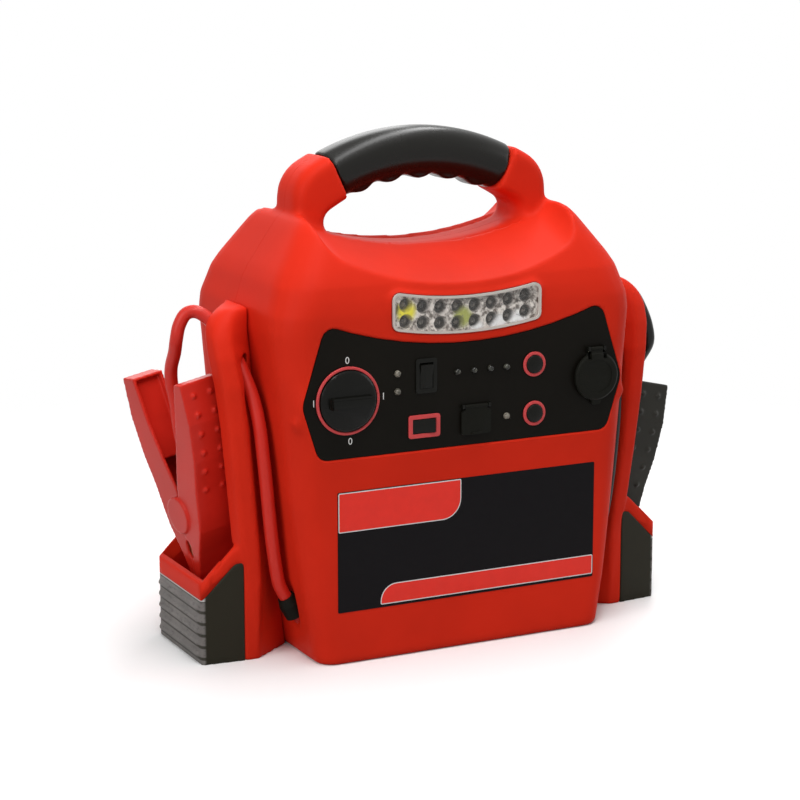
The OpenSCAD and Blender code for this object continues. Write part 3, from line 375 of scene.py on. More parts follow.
class Palette:
    """Every finish of the starter, made once."""

    def __init__(self, look):
        self.add_plastics(tuple(look.housing_color), tuple(look.trim_color))
        self.add_rubbers()
        self.add_metals()
        self.add_lamps()

    def add_plastics(self, red, trim):
        vinyl, dark_vinyl, black = (0.59, 0.022, 0.012), (0.020, 0.019, 0.014), (0.006, 0.005, 0.0035)
        self.housing = moulded("moulded_red", red)
        self.holster = moulded("moulded_red_side", red, roughness=0.5)
        self.case = moulded("battery_case_grey", (0.05, 0.055, 0.06), roughness=0.55)
        self.panel = moulded("panel_black", black, grain=1800, roughness=0.42, cloud=0.2)
        self.clamp_red = moulded("clamp_red_vinyl", vinyl, 1600, 0.3, cloud=0.1, specular=0.16)
        self.clamp_black = moulded("clamp_black_vinyl", dark_vinyl, 1600, 0.36, cloud=0.2, specular=0.2)
        self.trim = glossy("trim_red", trim, roughness=0.3)
        self.black = glossy("switch_black", (0.006, 0.006, 0.0045), roughness=0.22, specular=0.12)
        self.knob = glossy("knob_black", (0.005, 0.005, 0.004), roughness=0.16, specular=0.12)
        self.needle = glossy("needle_red", (0.5, 0.02, 0.01))
        self.dial = glossy("dial_white", (0.75, 0.75, 0.72), roughness=0.5)
        self.mark = glossy("mark_white", (0.75, 0.75, 0.73), roughness=0.5)
        self.label_black = glossy("label_black", (0.007, 0.006, 0.007), roughness=0.3, specular=0.06)
        self.label_red = glossy("label_red", (0.86, 0.035, 0.022), roughness=0.3, specular=0.2)
        self.label_white = glossy("label_white", (0.75, 0.75, 0.74), roughness=0.35)

    def add_rubbers(self):
        cover, grip, boot = (0.008, 0.008, 0.006), (0.006, 0.0055, 0.004), (0.018, 0.016, 0.009)
        # Boot tones: the paler tone of the outer faces, and a painted highlight for the top edge of those
        # faces
        outer_pale, rim = (0.19, 0.175, 0.165), (0.6, 0.58, 0.56)
        self.soft_black = rubbery("cover_rubber", cover, roughness=0.5, dust=0.01, specular=0.06)
        self.grip = rubbery("grip_rubber", grip, roughness=0.27, dust=0.001, specular=0.22, grain=900)
        self.boot = ribbed_rubber("boot_rubber", boot, outer_pale, rim)
        self.lead_red = glossy("lead_red_jacket", (0.60, 0.022, 0.012), roughness=0.38)
        self.lead_black = glossy("lead_black_jacket", (0.008, 0.008, 0.007), roughness=0.3, specular=0.2)

    def add_metals(self):
        self.copper = metal("jaw_copper", (0.60, 0.30, 0.16), roughness=0.32, stain=0.6)
        self.steel = metal("zinc_steel", (0.55, 0.56, 0.57))
        self.alloy = metal("cast_alloy", (0.42, 0.43, 0.45), roughness=0.5)
        self.brass = metal("turned_brass", (0.62, 0.46, 0.20), roughness=0.25)

    def add_lamps(self):
        plate, shadow, cup = (0.88, 0.82, 0.76), (0.15, 0.12, 0.10), (0.035, 0.024, 0.016)
        self.board = circuit("control_board_green", (0.015, 0.09, 0.035), (0.03, 0.16, 0.06))
        self.lamp_board = circuit("lamp_board_white", (0.6, 0.6, 0.56), (0.5, 0.5, 0.46))
        self.lens = clear("lamp_lens_clear", (0.85, 0.83, 0.80), veil=0.05)
        self.lens_edge = glossy("lamp_lens_edge", (0.62, 0.56, 0.51), roughness=0.3)
        self.gauge_glass = clear("gauge_glass", (0.9, 0.92, 0.93), veil=0.08)
        self.status = lamp_resin("status_lamps", (0.08, 0.075, 0.06), (0.22, 0.20, 0.16))
        self.level = lamp_resin("level_lamps", (0.010, 0.010, 0.008), (0.06, 0.06, 0.045))
        self.emitter = lamp_resin("lamp_emitters", (0.03, 0.026, 0.02), (0.16, 0.14, 0.12))
        self.reflector = reflector_plate("reflector_plated", plate, shadow, cup)


# ---- mesh helpers


def select_only(*objects):
    if bpy.context.object and bpy.context.object.mode != "OBJECT":
        bpy.ops.object.mode_set(mode="OBJECT")
    bpy.ops.object.select_all(action="DESELECT")
    for thing in objects:
        thing.select_set(True)
    bpy.context.view_layer.objects.active = objects[-1]


def linked(name, data):
    """A new object in the scene."""
    thing = bpy.data.objects.new(name, data)
    bpy.context.scene.collection.objects.link(thing)
    return thing


def modify(thing, kind, **settings):
    """Adds one modifier and applies it."""
    modifier = thing.modifiers.new(kind.lower(), kind)
    for key, value in settings.items():
        setattr(modifier, key, value)
    select_only(thing)
    bpy.ops.object.modifier_apply(modifier=modifier.name)
    return thing


def edit_all(thing, operator, **settings):
    """Runs an operator of edit mode on the whole mesh."""
    select_only(thing)
    bpy.ops.object.mode_set(mode="EDIT")
    bpy.ops.mesh.select_all(action="SELECT")
    operator(**settings)
    bpy.ops.object.mode_set(mode="OBJECT")
    return thing


def settle(thing, name=None):
    """Puts the object's place into its mesh, and gives it its name."""
    select_only(thing)
    bpy.ops.object.transform_apply(location=True, rotation=True, scale=True)
    if name:
        thing.name = name
        thing.data.name = name
    return thing


def smooth(thing, angle=35):
    select_only(thing)
    bpy.ops.object.shade_smooth_by_angle(angle=math.radians(angle))
    return thing


def joined(name, things):
    select_only(*things)
    bpy.ops.object.join()
    return settle(bpy.context.object, name)


def merged(*nodes):
    """The meshes of CAD nodes as one bmesh, with double points merged."""
    bm = bmesh.new()
    for node in nodes:
        bm.from_mesh(frame["nodes"][node].data)
    bmesh.ops.remove_doubles(bm, verts=bm.verts, dist=0.002 * MM)
    return bm


def copy_of(name, *nodes):
    """A merged copy of CAD nodes as one new object."""
    bm = merged(*nodes)
    mesh = bpy.data.meshes.new(name)
    bm.to_mesh(mesh)
    bm.free()
    return linked(name, mesh)


def soften(thing, voxel, rounds):
    """Rounds every edge of a closed form, as a moulding has them."""
    modify(thing, "REMESH", mode="VOXEL", voxel_size=voxel, adaptivity=0)
    return modify(thing, "SMOOTH", factor=0.5, iterations=rounds)


def soften_where(thing, rounds, share):
    """Rounds a form further where share gives a point more than 0."""
    group = thing.vertex_groups.new(name="share")
    for vert in thing.data.vertices:
        weight = share(vert.co)
        if weight > 0:
            group.add([vert.index], weight, "REPLACE")
    modify(thing, "SMOOTH", factor=0.5, iterations=rounds, vertex_group="share")
    thing.vertex_groups.clear()
    return thing


def slope(value, low, high):
    """0 under low, 1 over high and a straight rise between."""
    return min(max((value - low) / (high - low), 0), 1)


def edge_rounded(thing, width):
    """Rounds the sharp edges of a merged copy."""
    sharp = math.radians(35)
    edit_all(thing, bpy.ops.mesh.dissolve_limited, angle_limit=math.radians(1))
    modify(thing, "BEVEL", width=width, segments=3, limit_method="ANGLE", angle_limit=sharp)
    return smooth(thing)


def paint(thing, material):
    thing.data.materials.clear()
    thing.data.materials.append(material)


def add_piece(thing, material, body="housing"):
    paint(thing, material)
    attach(thing, body)


def stand_in(thing, material, node):
    """A new piece takes the place of a CAD node, and moves with it."""
    add_piece(thing, material, frame["nodes"][node]["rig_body"])
    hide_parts(node)


def dress(material, *nodes):
    """Gives CAD nodes a better material."""
    for node in nodes:
        paint(frame["nodes"][node], material)


def middle_of(node):
    low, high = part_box(node)
    return (low + high) / 2


def outline_of(node, y):
    """The outer edge loop of a node's flat face at y, as [x, z] points."""
    bm = merged(node)
    flat = {f for f in bm.faces if all(abs(v.co.y - y) < 0.02 * MM for v in f.verts)}
    ends = {}
    for edge in bm.edges:
        if len([f for f in edge.link_faces if f in flat]) == 1:
            for vert in edge.verts:
                ends.setdefault(vert, []).append(edge)
    loops = []
    while ends:
        start = next(iter(ends))
        loop = [start]
        vert = ends.pop(start)[0].other_vert(start)
        while vert in ends:
            loop.append(vert)
            onward = [e for e in ends.pop(vert) if e.other_vert(vert) in ends]
            if not onward:
                break
            vert = onward[0].other_vert(vert)
        loops.append([v.co.xz for v in loop])
    bm.free()
    return turned_left(max(loops, key=lambda pts: max(p.x for p in pts) - min(p.x for p in pts)))


def turned_left(points):
    """The outline, in anticlockwise order."""
    area = sum(a.x * b.y - b.x * a.y for a, b in zip(points, points[1:] + points[:1]))
    return points if area > 0 else points[::-1]


def grown(points, d):
    """The outline moved out by d."""
    out = []
    count = len(points)
    for i, point in enumerate(points):
        before = (point - points[i - 1]).normalized()
        after = (points[(i + 1) % count] - point).normalized()
        normal = Vector((before.y + after.y, -before.x - after.x)).normalized()
        lean = max(normal.dot(Vector((after.y, -after.x))), 0.5)
        out.append(point + normal * d / lean)
    return out


def loft(name, rings):
    """A closed solid through rings of equally many points."""
    count = len(rings[0])
    verts = [point for ring in rings for point in ring]
    faces = [list(range(count)), list(range(len(verts) - 1, len(verts) - count - 1, -1))]
    for k in range(len(rings) - 1):
        for i in range(count):
            a, b = k * count + i, k * count + (i + 1) % count
            faces.append([b, a, a + count, b + count])
    mesh = bpy.data.meshes.new(name)
    mesh.from_pydata(verts, [], faces)
    return edit_all(linked(name, mesh), bpy.ops.mesh.normals_make_consistent, inside=False)


def sunk_prism(name, outline, steps):
    """A prism along Y whose outline is grown by d at each depth y of steps [y, d]."""
    return loft(name, [[(p.x, y, p.y) for p in grown(outline, d)] for y, d in steps])


def rod(name, centre, steps, sides=64):
    """A turned form along Y at [x, z], with radius r at each y of steps [y, r]."""
    x, z = centre
    angles = [2 * math.pi * i / sides for i in range(sides)]
    return loft(name, [[(x + r * math.cos(a), y, z + r * math.sin(a)) for a in angles] for y, r in steps])


def box_between(name, low, high):
    bpy.ops.mesh.primitive_cube_add(size=1)
    thing = bpy.context.object
    thing.location = (Vector(low) + Vector(high)) / 2
    thing.scale = Vector(high) - Vector(low)
    return settle(thing, name)


def cut(thing, tool, operation="DIFFERENCE"):
    modify(thing, "BOOLEAN", operation=operation, object=tool, solver="MANIFOLD")
    bpy.data.objects.remove(tool)
    return thing


def flat_text(text, size, place, turn=0.0):
    """Raised figures as a mesh, facing the front or, after half a turn, the back."""
    bpy.ops.object.text_add()
    words = bpy.context.object.data
    words.body = text
    words.size = size
    words.align_x = words.align_y = "CENTER"
    words.extrude = 0.06 * MM
    words.resolution_u = 4
    bpy.ops.object.convert(target="MESH")
    thing = bpy.context.object
    upright = Matrix.Rotation(math.pi / 2, 4, "X")
    thing.matrix_world = Matrix.Translation(place) @ Matrix.Rotation(turn, 4, "Z") @ upright
    return settle(thing)


# ---- settings


class StarterSettings(bpy.types.PropertyGroup):
    """Sizes and colours of the starter's looks."""

    housing_color: FloatVectorProperty(
        name="Housing colour",
        description="Colour of the moulded housing",
        subtype="COLOR",
        default=(0.67, 0.025, 0.009),
    )
    trim_color: FloatVectorProperty(
        name="Trim colour",
        description="Colour of the rings and collars on the panel",
        subtype="COLOR",
        default=(0.62, 0.060, 0.062),
    )
    housing_voxel: FloatProperty(
        name="Housing grid",
        description="Grid that the housing's skin is rebuilt on",
        default=1.9 * MM,
        min=1.5 * MM,
        unit="LENGTH",
        precision=5,
    )
    housing_rounds: IntProperty(
        name="Housing softness",
        description="Smoothing rounds of the housing's edges",
        default=9,
        min=1,
    )
    seam_gap: FloatProperty(
        name="Seam gap",
        description="Gap between the two halves of the housing",
        default=0.3 * MM,
        unit="LENGTH",
        precision=5,
    )
    rim_round: FloatProperty(
        name="Panel rim",
        description="Width of the rounded rim round the control panel",
        default=2.0 * MM,
        unit="LENGTH",
        precision=5,
    )


class StudioSettings(bpy.types.PropertyGroup):
    """Camera and light."""

    azimuth: FloatProperty(
        name="Azimuth",
        description="Turn of the camera round the starter",
        subtype="ANGLE",
        default=math.radians(-26.8),
    )
    elevation: FloatProperty(
        name="Elevation",
        description="Height of the camera's view",
        subtype="ANGLE",
        default=math.radians(11.22),
    )
    distance: FloatProperty(
        name="Distance",
        description="Distance from the camera to its target",
        default=1.7308,
        unit="LENGTH",
    )
    focal_length: FloatProperty(
        name="Focal length",
        description="Lens, in millimetres on a 36 mm sensor",
        default=103.32,
    )
    top_light: FloatProperty(
        name="Top light",
        description="Power of the softbox overhead",
        default=4.0,
        unit="POWER",
    )
    strip_light: FloatProperty(
        name="Strip light",
        description="Power of the narrow light overhead, for the highlight on the grip",
        default=21.0,
        unit="POWER",
    )
    side_light: FloatProperty(
        name="Side light",
        description="Power of the softbox on the left, which the other side lights follow",
        default=18.5,
        unit="POWER",
    )


palette = None


# ---- stage


class STARTER_OT_stage(bpy.types.Operator):
    """Sets up the camera, the lights, the floor and the world"""

    bl_idname = "starter.stage"
    bl_label = "Studio"

    def execute(self, context):
        studio = context.scene.starter_studio
        self.add_camera(context.scene, studio)
        self.add_lights(studio)
        self.add_floor()
        self.set_world(context.scene)
        context.scene.view_settings.view_transform = "Standard"
        return {"FINISHED"}

    def add_camera(self, scene, studio):
        azimuth, elevation = studio.azimuth, studio.elevation
        flat = math.cos(elevation)
        back = Vector((math.sin(azimuth) * flat, -math.cos(azimuth) * flat, math.sin(elevation)))
        target = Vector((0, 14 * MM, 190 * MM))
        data = bpy.data.cameras.new("camera")
        data.lens = studio.focal_length
        data.sensor_width = 36
        data.shift_x, data.shift_y = -0.0100, -0.0387
        data.clip_end = 20
        camera = linked("camera", data)
        camera.location = target + back * studio.distance
        camera.rotation_euler = back.to_track_quat("Z", "Y").to_euler()
        scene.camera = camera

    def add_lights(self, studio):
        """Softboxes, with place and size in metres, turned to the starter's middle."""
        middle = Vector((0, 0, 0.18))
        softboxes = [
            ("top_light", (-0.15, -0.3, 1.6), (1.5, 1.5), studio.top_light),
            ("strip_light", (0.15, -0.1, 1.5), (2.8, 0.22), studio.strip_light),
            ("left_light", (-1.9, -0.9, 1.1), (1.3, 1.3), studio.side_light),
            ("right_light", (1.9, -0.6, 0.9), (1.0, 1.0), studio.side_light * 0.3),
            ("back_light", (0.3, 1.8, 1.2), (1.2, 1.2), studio.side_light * 0.4),
        ]
        for name, place, size, power in softboxes:
            data = bpy.data.lights.new(name, "AREA")
            data.shape = "RECTANGLE"
            data.size, data.size_y = size
            data.energy = power
            lamp = linked(name, data)
            lamp.location = place
            lamp.rotation_euler = (Vector(place) - middle).to_track_quat("Z", "Y").to_euler()

    def add_floor(self):
        """A disc that takes the starter's shadow and fades out towards its edge."""
        bpy.ops.mesh.primitive_circle_add(vertices=96, radius=1, fill_type="NGON", location=(0, 0, 0))
        floor = settle(bpy.context.object, "floor")
        finish = Finish("floor_white", (0.8, 0.8, 0.8), 0.9, Specular_IOR_Level=0)
        finish.feed(
            Base_Color=finish.mix(finish.in_view(), (0.45, 0.45, 0.45), (1, 1, 1)),
            Alpha=1 - finish.distance_to((0, 0, 0)).above(0.3, 0.9),
        )
        paint(floor, finish.material)

    def set_world(self, scene):
        """White where it is seen, and a dim grey light elsewhere."""
        world = bpy.data.worlds.new("studio_world")
        world.use_nodes = True
        scene.world = world
        sky = Nodes(world.node_tree)
        grey = sky.tree.nodes["Background"]
        sky.put(grey.inputs["Color"], (0.3, 0.3, 0.3))
        white = sky.node("ShaderNodeBackground", None, {"Color": (1, 1, 1)})
        mixed = sky.node("ShaderNodeMixShader", None, [sky.in_view(), Wire(sky, grey.outputs[0]), white])
        sky.put(sky.tree.nodes["World Output"].inputs["Surface"], mixed)


# ---- leads


# Route of each lead, in millimetres, for the right side
LEAD_RISE = [
    (128, -44, 44.93), (130.6, -44, 49.43), (134, -44.5, 58), (138, -46, 80), (141, -47, 104),
    (143.5, -47.5, 130), (145.5, -47, 152), (147, -45, 172), (149, -40, 190), (152, -32, 206),
    (156, -24, 220), (161.5, -16, 233),
]
RED_OVER = [
    (168, -9, 243.5), (176, -4, 250), (183.5, -1, 249), (188.5, 0, 241), (190.5, 1, 231),
    (189.8, 7, 220), (189.5, 15, 208), (188, 18.7, 195), (185, 18.9, 180),
]
BLACK_OVER = [
    (169, -10, 241), (178, -7, 242), (188, -4, 235), (196.5, -1.5, 223.5), (203, 0, 210),
    (206, 2, 196), (204.5, 10, 183), (200, 17.5, 170), (194, 20.5, 156), (189, 19, 141),
]

# Heights above its clamp's pin at which a lead comes down between the handles
LUG_HEIGHTS = (62, 44, 26)


def spline_points(points, steps=6):
    """Catmull-Rom points through the route."""
    pts = [points[0] * 2 - points[1], *points, points[-1] * 2 - points[-2]]
    out = []
    for p0, p1, p2, p3 in zip(pts, pts[1:], pts[2:], pts[3:]):
        rise = p2 - p0
        bend = p0 * 2 - p1 * 5 + p2 * 4 - p3
        twist = p1 * 3 - p0 - p2 * 3 + p3
        for k in range(steps):
            t = k / steps
            out.append((p1 * 2 + rise * t + bend * t * t + twist * t**3) / 2)
    return [*out, points[-1]]


def clamp_frame(side):
    """Place of a clamp: its pin along X, its handles up and its front half towards -Y."""
    pin = middle_of("red_clamp_pin" if side < 0 else "black_clamp_pin")
    lean, back, yaw = (10.5, 5, 9) if side < 0 else (13, 8, 0)
    tilt = Matrix.Rotation(math.radians(side * lean), 4, "Y") @ Matrix.Rotation(math.radians(-back), 4, "X")
    return Matrix.Translation(pin) @ tilt @ Matrix.Rotation(math.radians(-side * yaw), 4, "Z")


class STARTER_OT_leads(bpy.types.Operator):
    """Lays the two heavy leads from their glands to the clamps' lugs"""

    bl_idname = "starter.leads"
    bl_label = "Leads"

    def execute(self, context):
        self.lay_lead("red_lead", -1, RED_OVER, palette.lead_red)
        self.lay_lead("black_lead", 1, BLACK_OVER, palette.lead_black)
        return {"FINISHED"}

    def lay_lead(self, node, side, over, material):
        route = [Vector((side * x, y, z)) * MM for x, y, z in [*LEAD_RISE, *over]]
        route += [clamp_frame(side) @ Vector((0, 0, height * MM)) for height in LUG_HEIGHTS]
        points = spline_points(route)
        diameter = 9.6 * MM
        data = bpy.data.curves.new(f"{node}_cord", "CURVE")
        data.dimensions = "3D"
        data.bevel_depth = diameter / 2
        data.bevel_resolution = 6
        data.use_fill_caps = True
        data.materials.append(material)
        spline = data.splines.new("POLY")
        spline.points.add(len(points) - 1)
        for target, point in zip(spline.points, points):
            target.co = (*point, 1)
        spline.use_smooth = True
        lead = linked(f"{node}_cord", data)
        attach(lead, "housing")
        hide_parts(node)
        sum((b - a).length for a, b in zip(points, points[1:]))


# ---- housing


class STARTER_OT_housing(bpy.types.Operator):
    """Moulds the two halves of the housing with soft edges, a fine seam and crisp openings"""

    bl_idname = "starter.housing"
    bl_label = "Housing"

    def execute(self, context):
        look = context.scene.starter
        panel = outline_of("control_panel", PANEL_Y)
        lens = outline_of("lamp_lens", LENS_Y)
        screws = self.screws()
        shells = copy_of("shells", "front_shell", "rear_shell")
        body = joined("body", [shells, *self.fillers(panel, lens, screws)])
        soften(body, look.housing_voxel, look.housing_rounds)
        soften_where(body, 14, self.beside_panel)
        cut(body, self.cavity("cavity", 0))
        cut(body, self.openings(panel, lens, screws, look.rim_round))
        self.split(body, look.seam_gap)
        return {"FINISHED"}

    def beside_panel(self, co):
        """1 at the front corners beside the panel's tips, and 0 away from them."""
        x, y, z = abs(co.x) / MM, co.y / MM, co.z / MM
        return slope(x, 124, 130) * slope(-y, 50, 60) * slope(z, 150, 165) * slope(-z, -235, -220)

    def plate_ring(self, z, half_w, half_d, r, steps=5):
        """A rounded rectangle in plan, in millimetres."""
        ring = []
        for quarter, (sx, sy) in enumerate(((1, 1), (-1, 1), (-1, -1), (1, -1))):
            for i in range(steps + 1):
                a = math.radians(90 * (quarter + i / steps))
                x = sx * (half_w - r) + r * math.cos(a)
                y = SEAM_Y / MM + sy * (half_d - r) + r * math.sin(a)
                ring.append(Vector((x, y, z)) * MM)
        return ring

    def cavity(self, name, extra):
        """The space inside the walls, grown by extra."""
        depth = (BACK_Y - FRONT_Y) / 2 / MM
        wall = WALL / MM - extra
        rings = []
        for z, r in ((wall, 11), (120, 16), (SHOULDER_Z, 22)):
            half_w = FOOT_HALF + (SHOULDER_HALF - FOOT_HALF) * (z / SHOULDER_Z) ** 0.8
            rings.append(self.plate_ring(z, half_w - wall, depth - wall, r))
        rings.append(self.plate_ring(256 + extra, SHOULDER_HALF - 9 + extra, depth - 5 + extra, 24))
        return loft(name, rings)

    def fillers(self, panel, lens, screws):
        """Plugs that close the shells' openings while their skin is rebuilt."""
        inside = BACK_Y - 8 * MM
        plugs = [
            self.cavity("filler", 1.3),
            sunk_prism("panel_plug", panel, [(FRONT_Y, 0.5 * MM), (FRONT_Y + 8 * MM, 0.5 * MM)]),
            sunk_prism("lamp_plug", lens, [(FRONT_Y, 1 * MM), (FRONT_Y + 20 * MM, 1 * MM)]),
        ]
        for node in BACK_OPENINGS:
            low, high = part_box(node)
            r = (high.x - low.x) / 2 + 4 * MM
            plugs.append(rod("plug", middle_of(node).xz, [(inside, r), (BACK_Y, r)], 32))
        for place in screws:
            plugs.append(rod("plug", place, [(SEAM_Y + 2 * MM, 5 * MM), (BACK_Y, 5 * MM)], 24))
        half = (VENT_HALF + 2) * MM
        low = (VENT_LOW - 2) * MM
        high = (VENT_LOW + (VENTS - 1) * VENT_PITCH + VENT_HIGH + 2) * MM
        plugs.append(box_between("vent_plug", (-half, inside, low), (half, BACK_Y, high)))
        return plugs

    def screws(self):
        """Places [x, z] of the housing screws, from the loose parts of their node."""
        groups = []
        for vert in frame["nodes"]["housing_screws"].data.vertices:
            x, z = vert.co.xz
            near = next((g for g in groups if math.hypot(g[0][0] - x, g[0][1] - z) < 9 * MM), None)
            if near:
                near.append((x, z))
            else:
                groups.append([(x, z)])
        return [[(min(values) + max(values)) / 2 for values in zip(*group)] for group in groups]

    def rounded_rim(self, rim, angles):
        """Steps round the edge of an opening in the front, and on out of the housing."""
        steps = [(FRONT_Y + rim * (1 - math.sin(a)), PLAY + rim * (1 - math.cos(a))) for a in angles]
        return [*steps, (FRONT_Y - CLEAR, PLAY + rim + CLEAR)]

    def openings(self, panel, lens, screws, rim):
        """One tool that cuts every opening of the skin."""
        bed, ledge = PANEL_Y + 2.2 * MM, FRONT_Y + 2 * MM
        panel_steps = [(FRONT_Y + 6 * MM, -6 * MM), (bed, -6 * MM), (bed, PLAY)]
        panel_steps += self.rounded_rim(rim, (0, 0.5, 0.9, 1.25, math.pi / 2))
        lens_steps = [(FRONT_Y + 17 * MM, -1 * MM), (ledge, -1 * MM), (ledge, PLAY)]
        lens_steps += self.rounded_rim(rim / 2, (0, 0.5, 1, math.pi / 2))
        tools = [sunk_prism("panel_cut", panel, panel_steps), sunk_prism("lamp_cut", lens, lens_steps)]
        outside = BACK_Y + CLEAR
        for node, (wide, narrow, sunk) in BACK_OPENINGS.items():
            seat = BACK_Y - sunk * MM
            steps = [(BACK_Y - 12 * MM, narrow), (seat, narrow), (seat, wide)]
            steps += [(BACK_Y - 0.8 * MM, wide), (outside, wide + 3.8)]
            tools.append(rod("round_cut", middle_of(node).xz, [(y, r * MM) for y, r in steps]))
        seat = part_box("housing_screws")[1].y - SCREW_HEAD * MM
        for place in screws:
            steps = [(SEAM_Y - 14 * MM, SCREW_HOLE_R), (seat, SCREW_HOLE_R), (seat, SCREW_SEAT_R)]
            steps += [(BACK_Y - 0.5 * MM, SCREW_SEAT_R), (outside, SCREW_SEAT_R + 3.5)]
            tools.append(rod("screw_cut", place, [(y, r * MM) for y, r in steps], 32))
        half, inside = VENT_HALF * MM, BACK_Y - 6 * MM
        for i in range(VENTS):
            z = (VENT_LOW + VENT_PITCH * i) * MM
            tools.append(box_between("vent_cut", (-half, inside, z), (half, outside, z + VENT_HIGH * MM)))
        return joined("openings", tools)

    def split(self, body, gap):
        """Parts the skin at the seam into its two halves."""
        reach = 0.4
        rear = linked("rear", body.data.copy())
        front_box = box_between("front_box", (-reach, -reach, -reach), (reach, SEAM_Y - gap / 2, 2 * reach))
        rear_box = box_between("rear_box", (-reach, SEAM_Y + gap / 2, -reach), (reach, reach, 2 * reach))
        for half, room, side in ((body, front_box, "front"), (rear, rear_box, "rear")):
            settle(cut(half, room, "INTERSECT"), f"{side}_skin")
            stand_in(smooth(half, 40), palette.housing, f"{side}_shell")


class STARTER_OT_grip(bpy.types.Operator):
    """Moulds the soft grip with its finger waves"""

    bl_idname = "starter.grip"
    bl_label = "Grip"

    def execute(self, context):
        grip = soften(copy_of("grip_sleeve", "handle_grip"), 1.2 * MM, 20)
        soften_where(grip, 24, self.underside)
        stand_in(smooth(grip, 60), palette.grip, "handle_grip")
        return {"FINISHED"}

    def underside(self, co):
        """1 on the finger waves, and 0 on the rest of the grip."""
        x, z = co.x / MM, co.z / MM
        return slope(338 - 0.003 * x * x - z, 0, 3)


class STARTER_OT_holsters(bpy.types.Operator):
    """Moulds the holsters with their ears, and the ribbed boots"""

    bl_idname = "starter.holsters"
    bl_label = "Holsters"

    def execute(self, context):
        for side in ("left", "right"):
            holster = soften(copy_of(f"{side}_holster_skin", f"{side}_holster"), 1.6 * MM, 6)
            soften_where(holster, 40, lambda co: slope(co.z / MM, 222, 246))
            holster = joined(holster.name, [holster, self.pocket_walls(side)])
            stand_in(smooth(holster, 60), palette.holster, f"{side}_holster")
            boot = soften(copy_of(f"{side}_boot_skin", f"{side}_boot"), 0.9 * MM, 3)
            stand_in(smooth(boot, 60), palette.boot, f"{side}_boot")
        return {"FINISHED"}

    def pocket_walls(self, side):
        """The pocket's thin walls inside the boot, which are too fine to soften."""
        walls = copy_of(f"{side}_pocket_walls", f"{side}_holster")
        low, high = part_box(f"{side}_boot")
        wall = 2.3 * MM
        if side == "left":
            low.x += wall
        else:
            high.x -= wall
        low.y += wall
        high.y -= wall + 0.3 * MM
        high.z += 1 * MM
        return cut(walls, box_between("walls_room", low, high), "INTERSECT")


class STARTER_OT_clamps(bpy.types.Operator):
    """Moulds the clamps' handles and finishes their metal parts"""

    bl_idname = "starter.clamps"
    bl_label = "Clamps"

    def execute(self, context):
        for colour, material in (("red", palette.clamp_red), ("black", palette.clamp_black)):
            for half in ("front", "rear"):
                node = f"{colour}_clamp_{half}"
                lever = joined(f"{node}_skin", [copy_of("lever", node), self.liner(colour, half)])
                soften(lever, 0.85 * MM, 4)
                stand_in(smooth(lever, 60), material, node)
                jaw = edge_rounded(copy_of(f"{node}_jaw_plate", f"{node}_jaw"), 0.5 * MM)
                stand_in(jaw, palette.copper, f"{node}_jaw")
            dress(palette.steel, f"{colour}_clamp_pin", f"{colour}_clamp_spring")
            dress(palette.copper, f"{colour}_clamp_lug")
        return {"FINISHED"}

    def liner(self, colour, half):
        """The web that closes a lever's channel a little below its lips."""
        if half == "front":
            half_w, thick, line = 13.4, -2.4, [(-19, 38), (-30, 70), (-39, 98)]
        else:
            half_w, thick, line = 10.6, 2.4, [(20, 38), (27.5, 66), (33.5, 98)]
        profile = [*line, *[(y + thick, z) for y, z in reversed(line)]]
        place = clamp_frame(-1 if colour == "red" else 1)
        ends = [[place @ (Vector((x, y, z)) * MM) for y, z in profile] for x in (-half_w, half_w)]
        return loft("liner", ends)


# ---- panel


class STARTER_OT_panel(bpy.types.Operator):
    """Finishes the control panel, its switches, lamps, buttons and covers"""

    bl_idname = "starter.panel"
    bl_label = "Control panel"

    def execute(self, context):
        dress(palette.panel, "control_panel")
        red, black = (palette.trim, "red_trim"), (palette.black, "black_plastic")
        soft = (palette.soft_black, "rubber")
        rounded = [
            ("knob_ring", "switch_ring", 0.5, red),
            ("output_frame", "output_rocker_frame", 0.4, black),
            ("output_key", "output_rocker", 0.4, black),
            ("light_frame", "light_rocker_frame", 0.4, red),
            ("light_key", "light_rocker", 0.4, black),
            ("usb_flap_cover", "usb_cover", 0.4, soft),
            ("test_collar", "test_bezel", 0.4, red),
            ("air_collar", "air_bezel", 0.4, red),
            ("test_cap", "test_button", 0.4, black),
            ("air_cap", "air_button", 0.4, black),
            ("outlet_cover", "dc_cap", 0.5, soft),
        ]
        for name, node, width, (material, slot) in rounded:
            stand_in(edge_rounded(copy_of(name, node), width * MM), material, node)
        self.add_knob()
        dress(palette.black, "usb_socket", "dc_socket", "switch_body")
        dress(palette.status, "status_leds")
        dress(palette.level, "level_leds")
        self.add_marks()
        return {"FINISHED"}

    def add_knob(self):
        """The main switch's knob, its bar drawn in from the rim."""
        low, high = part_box("switch_knob")
        disc_y = PANEL_Y - 4.4 * MM
        steps = [(low.y + 1.5 * MM, 15.5), (disc_y, 16.5), (disc_y, 30), (high.y + 1 * MM, 30)]
        room = rod("knob_room", middle_of("switch_ring").xz, [(y, r * MM) for y, r in steps])
        knob = cut(copy_of("knob", "switch_knob"), room, "INTERSECT")
        stand_in(edge_rounded(knob, 0.7 * MM), palette.knob, "switch_knob")

    def add_marks(self):
        """Plain off and on marks round the main switch."""
        switch = middle_of("switch_ring")
        marks = []
        for text, dx, dz in (("0", 0, 28.5), ("0", 2.0, -29.5), ("I", -26, 0), ("I", 28, 0.5)):
            place = Vector((switch.x + dx * MM, PANEL_Y - 0.02 * MM, switch.z + dz * MM))
            marks.append(flat_text(text, 7.0 * MM, place))
        add_piece(joined("switch_marks", marks), palette.mark)


